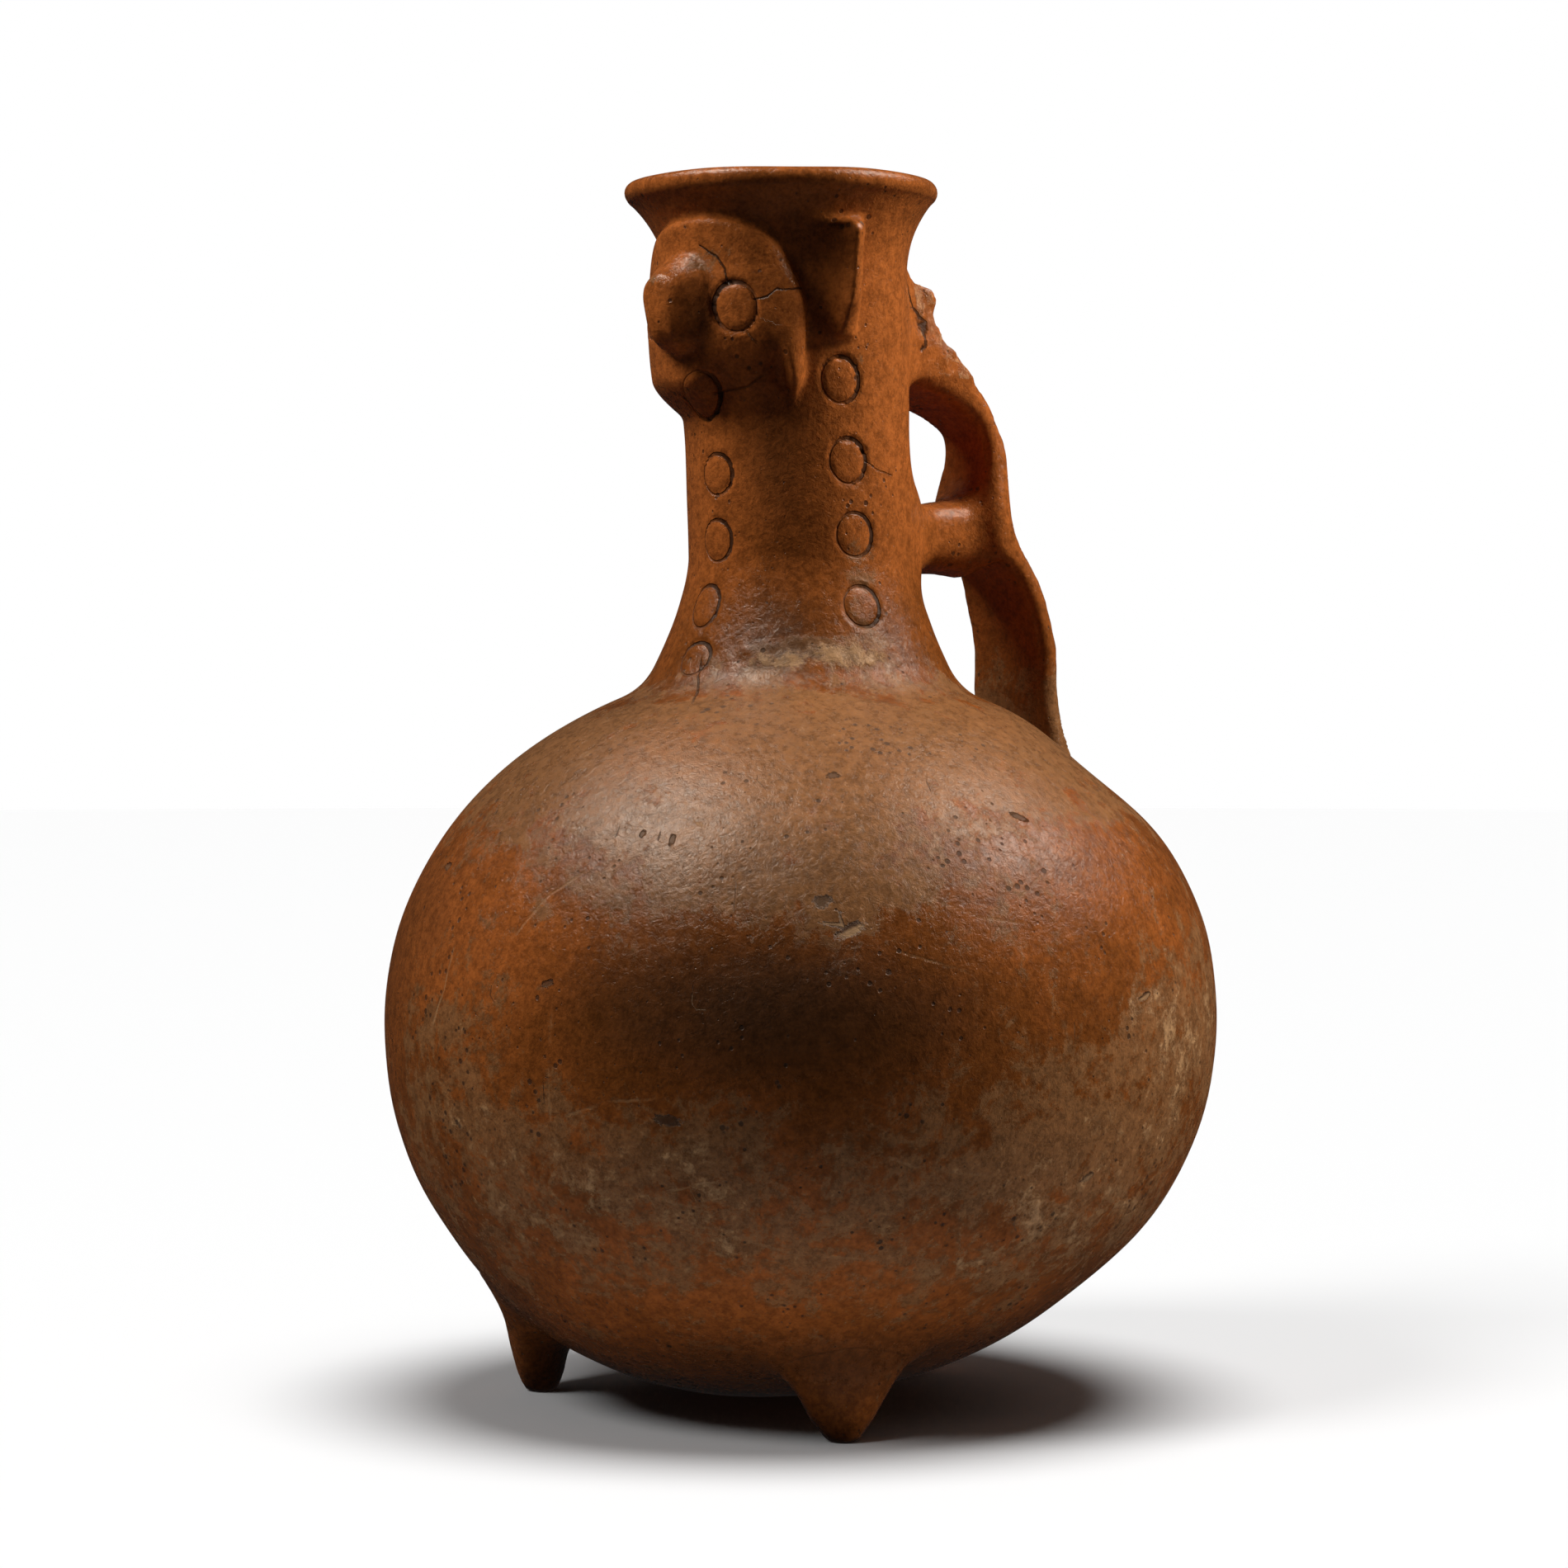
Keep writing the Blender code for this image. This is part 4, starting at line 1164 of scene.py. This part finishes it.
# Chips: a hollow with painted shade under its upper edge; below that edge the clay is painted pale as if
# lit, as far as each chip is given light, and dark as shade where it is not
chip_x, chip_y, chip_painted_light = clay.stored_parts("chip")
chip_size = (chip_x * chip_x + chip_y * chip_y).root()
chip = (chip_size + (speckle - 0.5) * 1.5 + (grain - 0.5) * 1.2).rise(1.0, 0.6)
chip_shade = (chip_y + (speckle - 0.5) * 0.8).rise(-0.1, 0.5)

colour = clay.blend(scratch * 0.4, colour, PALE)
# Pits and cracks are darkened
colour = clay.blend(pits * 0.7, colour, DIRT_AND_SHADE)
colour = clay.blend(crack * 0.85, colour, DIRT_AND_SHADE)
# Painted shade and dirt in the stamps' grooves, darkest on their deep side
colour = clay.blend(ring * (deep_side * 0.7 + 0.2), colour, DIRT_AND_SHADE)
# Painted shade and painted light in the chips
colour = clay.blend(chip * 0.65, colour, clay.blend(chip_painted_light * (1 - chip_shade), DIRT_AND_SHADE, PALE))
colour = clay.blend(inside_mark, colour, INSIDE)

roughness = 0.16 + soot_and_shade * 0.15 + film * 0.06 + pale * 0.12 + speckle * 0.12
roughness = roughness + pits * 0.3 + ring * 0.3 + chip * 0.3 + inside_mark * 0.5
relief = ragged * 0.22 + wrinkle * 0.30 + speckle * 0.17 + grain * 0.04 + film * 0.03 + pale * 0.08
hollows = (pits * 0.16 + crack * 0.5 + scratch * 0.12 + ring * 0.45 + chip * 0.7) * (1 - inside_mark)
bump = clay.node("Bump", {}, Strength=1.0, Distance=0.001, Height=relief - hollows)
surface = clay.tree.nodes["Principled BSDF"].inputs
clay.connect(colour, surface["Base Color"])
clay.connect(roughness, surface["Roughness"])
clay.connect(bump, surface["Normal"])
surface["IOR"].default_value = 1.5
surface["Specular Tint"].default_value = (1.0, 0.86, 0.70, 1)
jug.data.materials.append(clay_material)

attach(jug, "root")
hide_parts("jug")

# The stand, the lights and the camera: a plain pale floor, and soft lights that leave the jug's front
# and underside dark. The strong ones are at its upper left and upper right, and weaker ones low on the
# right and behind it.

SHADOW_FLOOR, BRIGHT_FLOOR, FAR_FLOOR = 0.09, 0.22, 6.0
FLOOR_SIDES = 96
floor_material = bpy.data.materials.new("pale_floor")
floor_surface = Finish(floor_material).tree.nodes["Principled BSDF"].inputs
floor_surface["Base Color"].default_value = (0.9, 0.9, 0.9, 1)
floor_surface["Roughness"].default_value = 0.9


def floor_ring(name, inner, outer):
    """A flat ring of floor, or a disc where inner is 0."""
    mesh = bmesh.new()
    turns = [2 * math.pi * n / FLOOR_SIDES for n in range(FLOOR_SIDES)]
    far = [mesh.verts.new((outer * math.cos(t), outer * math.sin(t), 0)) for t in turns]
    if inner:
        near = [mesh.verts.new((inner * math.cos(t), inner * math.sin(t), 0)) for t in turns]
        for n in range(FLOOR_SIDES):
            mesh.faces.new((near[n - 1], far[n - 1], far[n], near[n]))
    else:
        mesh.faces.new(far)
    data = bpy.data.meshes.new(name)
    mesh.to_mesh(data)
    mesh.free()
    data.materials.append(floor_material)
    made = bpy.data.objects.new(name, data)
    bpy.context.scene.collection.objects.link(made)
    return made


# Only the ring of floor just outside the shadow throws light back onto the jug
shadow_floor = floor_ring("shadow_floor", 0, SHADOW_FLOOR)
bright_floor = floor_ring("bright_floor", SHADOW_FLOOR, BRIGHT_FLOOR)
far_floor = floor_ring("far_floor", BRIGHT_FLOOR, FAR_FLOOR)
floors = (shadow_floor, bright_floor, far_floor)
for floor in floors:
    floor.visible_glossy = False
    floor.visible_diffuse = floor is bright_floor

VIEW_TURN = math.radians(52)
VIEW_DISTANCE = 1.1873
VIEW_HEIGHT = 0.2049
SENSOR_WIDTH = 36
# In pixels: the picture's width, the distance from the lens to the picture, the column of the jug's axis
# and the row of what is level with the camera
PICTURE_WIDTH, PICTURE_DISTANCE = 1900, 5000
AXIS_COLUMN, LEVEL_ROW = 969, 836
eye = bpy.data.cameras.new("eye")
eye.lens = SENSOR_WIDTH * PICTURE_DISTANCE / PICTURE_WIDTH
eye.sensor_width = SENSOR_WIDTH
camera = bpy.data.objects.new("eye", eye)
bpy.context.scene.collection.objects.link(camera)
camera.location = (VIEW_DISTANCE * math.sin(VIEW_TURN), -VIEW_DISTANCE * math.cos(VIEW_TURN), VIEW_HEIGHT)
pitch = math.atan((PICTURE_WIDTH / 2 - LEVEL_ROW) / PICTURE_DISTANCE)
yaw = math.atan((AXIS_COLUMN - PICTURE_WIDTH / 2) / PICTURE_DISTANCE)
camera.rotation_euler = (math.radians(90) - pitch, 0, VIEW_TURN + yaw)
bpy.context.scene.camera = camera


def toward_light(turn, rise):
    """Direction of a light, by an angle counted from the camera's own and an angle above the floor."""
    turn, rise = VIEW_TURN + math.radians(turn), math.radians(rise)
    out = math.cos(rise)
    return Vector((out * math.sin(turn), -out * math.cos(turn), math.sin(rise)))


def light_holder(lamp, direction, lit):
    """Holds a lamp so that it shines from a direction, and only on the things in one group."""
    holder = bpy.data.objects.new(lamp.name, lamp)
    bpy.context.scene.collection.objects.link(holder)
    holder.rotation_euler = direction.to_track_quat("Z", "Y").to_euler()
    holder.light_linking.receiver_collection = lit
    return holder


def group(name, *things):
    """Things that a light falls on."""
    made = bpy.data.collections.new(name)
    for thing in things:
        made.objects.link(thing)
    return made


# Soft lights that fall on the jug alone, four for its clay and two for its shine: degrees round from the
# camera, degrees up, distance, size, power, whether it is for the shine
LIT_MIDDLE = Vector((0, 0, 0.14))
jug_alone = group("jug_alone", jug)
for name, turn, rise, distance, size, power, shine in (
    ("left_light", -76, 50, 1.4, 0.5, 22, False),
    ("right_light", 90, 38, 1.4, 0.5, 31, False),
    ("low_right_light", 80, -8, 1.4, 0.5, 4, False),
    ("back_light", 190, 45, 1.6, 0.9, 5, False),
    ("left_shine", -80, 62, 1.4, 0.46, 13, True),
    ("right_shine", 94, 50, 1.4, 0.46, 10, True),
):
    lamp = bpy.data.lights.new(name, "AREA")
    lamp.size = size
    lamp.energy = power
    direction = toward_light(turn, rise)
    holder = light_holder(lamp, direction, jug_alone)
    holder.location = LIT_MIDDLE + direction * distance
    holder.visible_diffuse = not shine
    holder.visible_glossy = shine

# Three lights for the floor alone, from above, from the left front and from all round, each with its
# own shadow of the jug: degrees round from the camera, degrees up, degrees wide, strength
whole_floor = group("whole_floor", *floors)
for name, turn, rise, width, power in (
    ("above_floor", 40, 82, 34, 2.8),
    ("left_of_floor", -50, 46, 20, 0.9),
    ("round_floor", 0, 90, 110, 0.15),
):
    sun = bpy.data.lights.new(name, "SUN")
    sun.angle = math.radians(width)
    sun.energy = power
    light_holder(sun, toward_light(turn, rise), whole_floor)

# White behind the jug, and only a faint glow of it on the jug
FAINT_GLOW = 0.015
world = bpy.data.worlds.new("room")
room = Finish(world)
behind = room.tree.nodes["Background"].inputs
seen = room.node("LightPath", {}, output="Is Camera Ray")
room.connect(room.node("MapRange", {}, seen, 0.0, 1.0, FAINT_GLOW, 1.0), behind["Strength"])
behind["Color"].default_value = (1, 1, 1, 1)
bpy.context.scene.world = world
bpy.context.scene.view_settings.view_transform = "Standard"
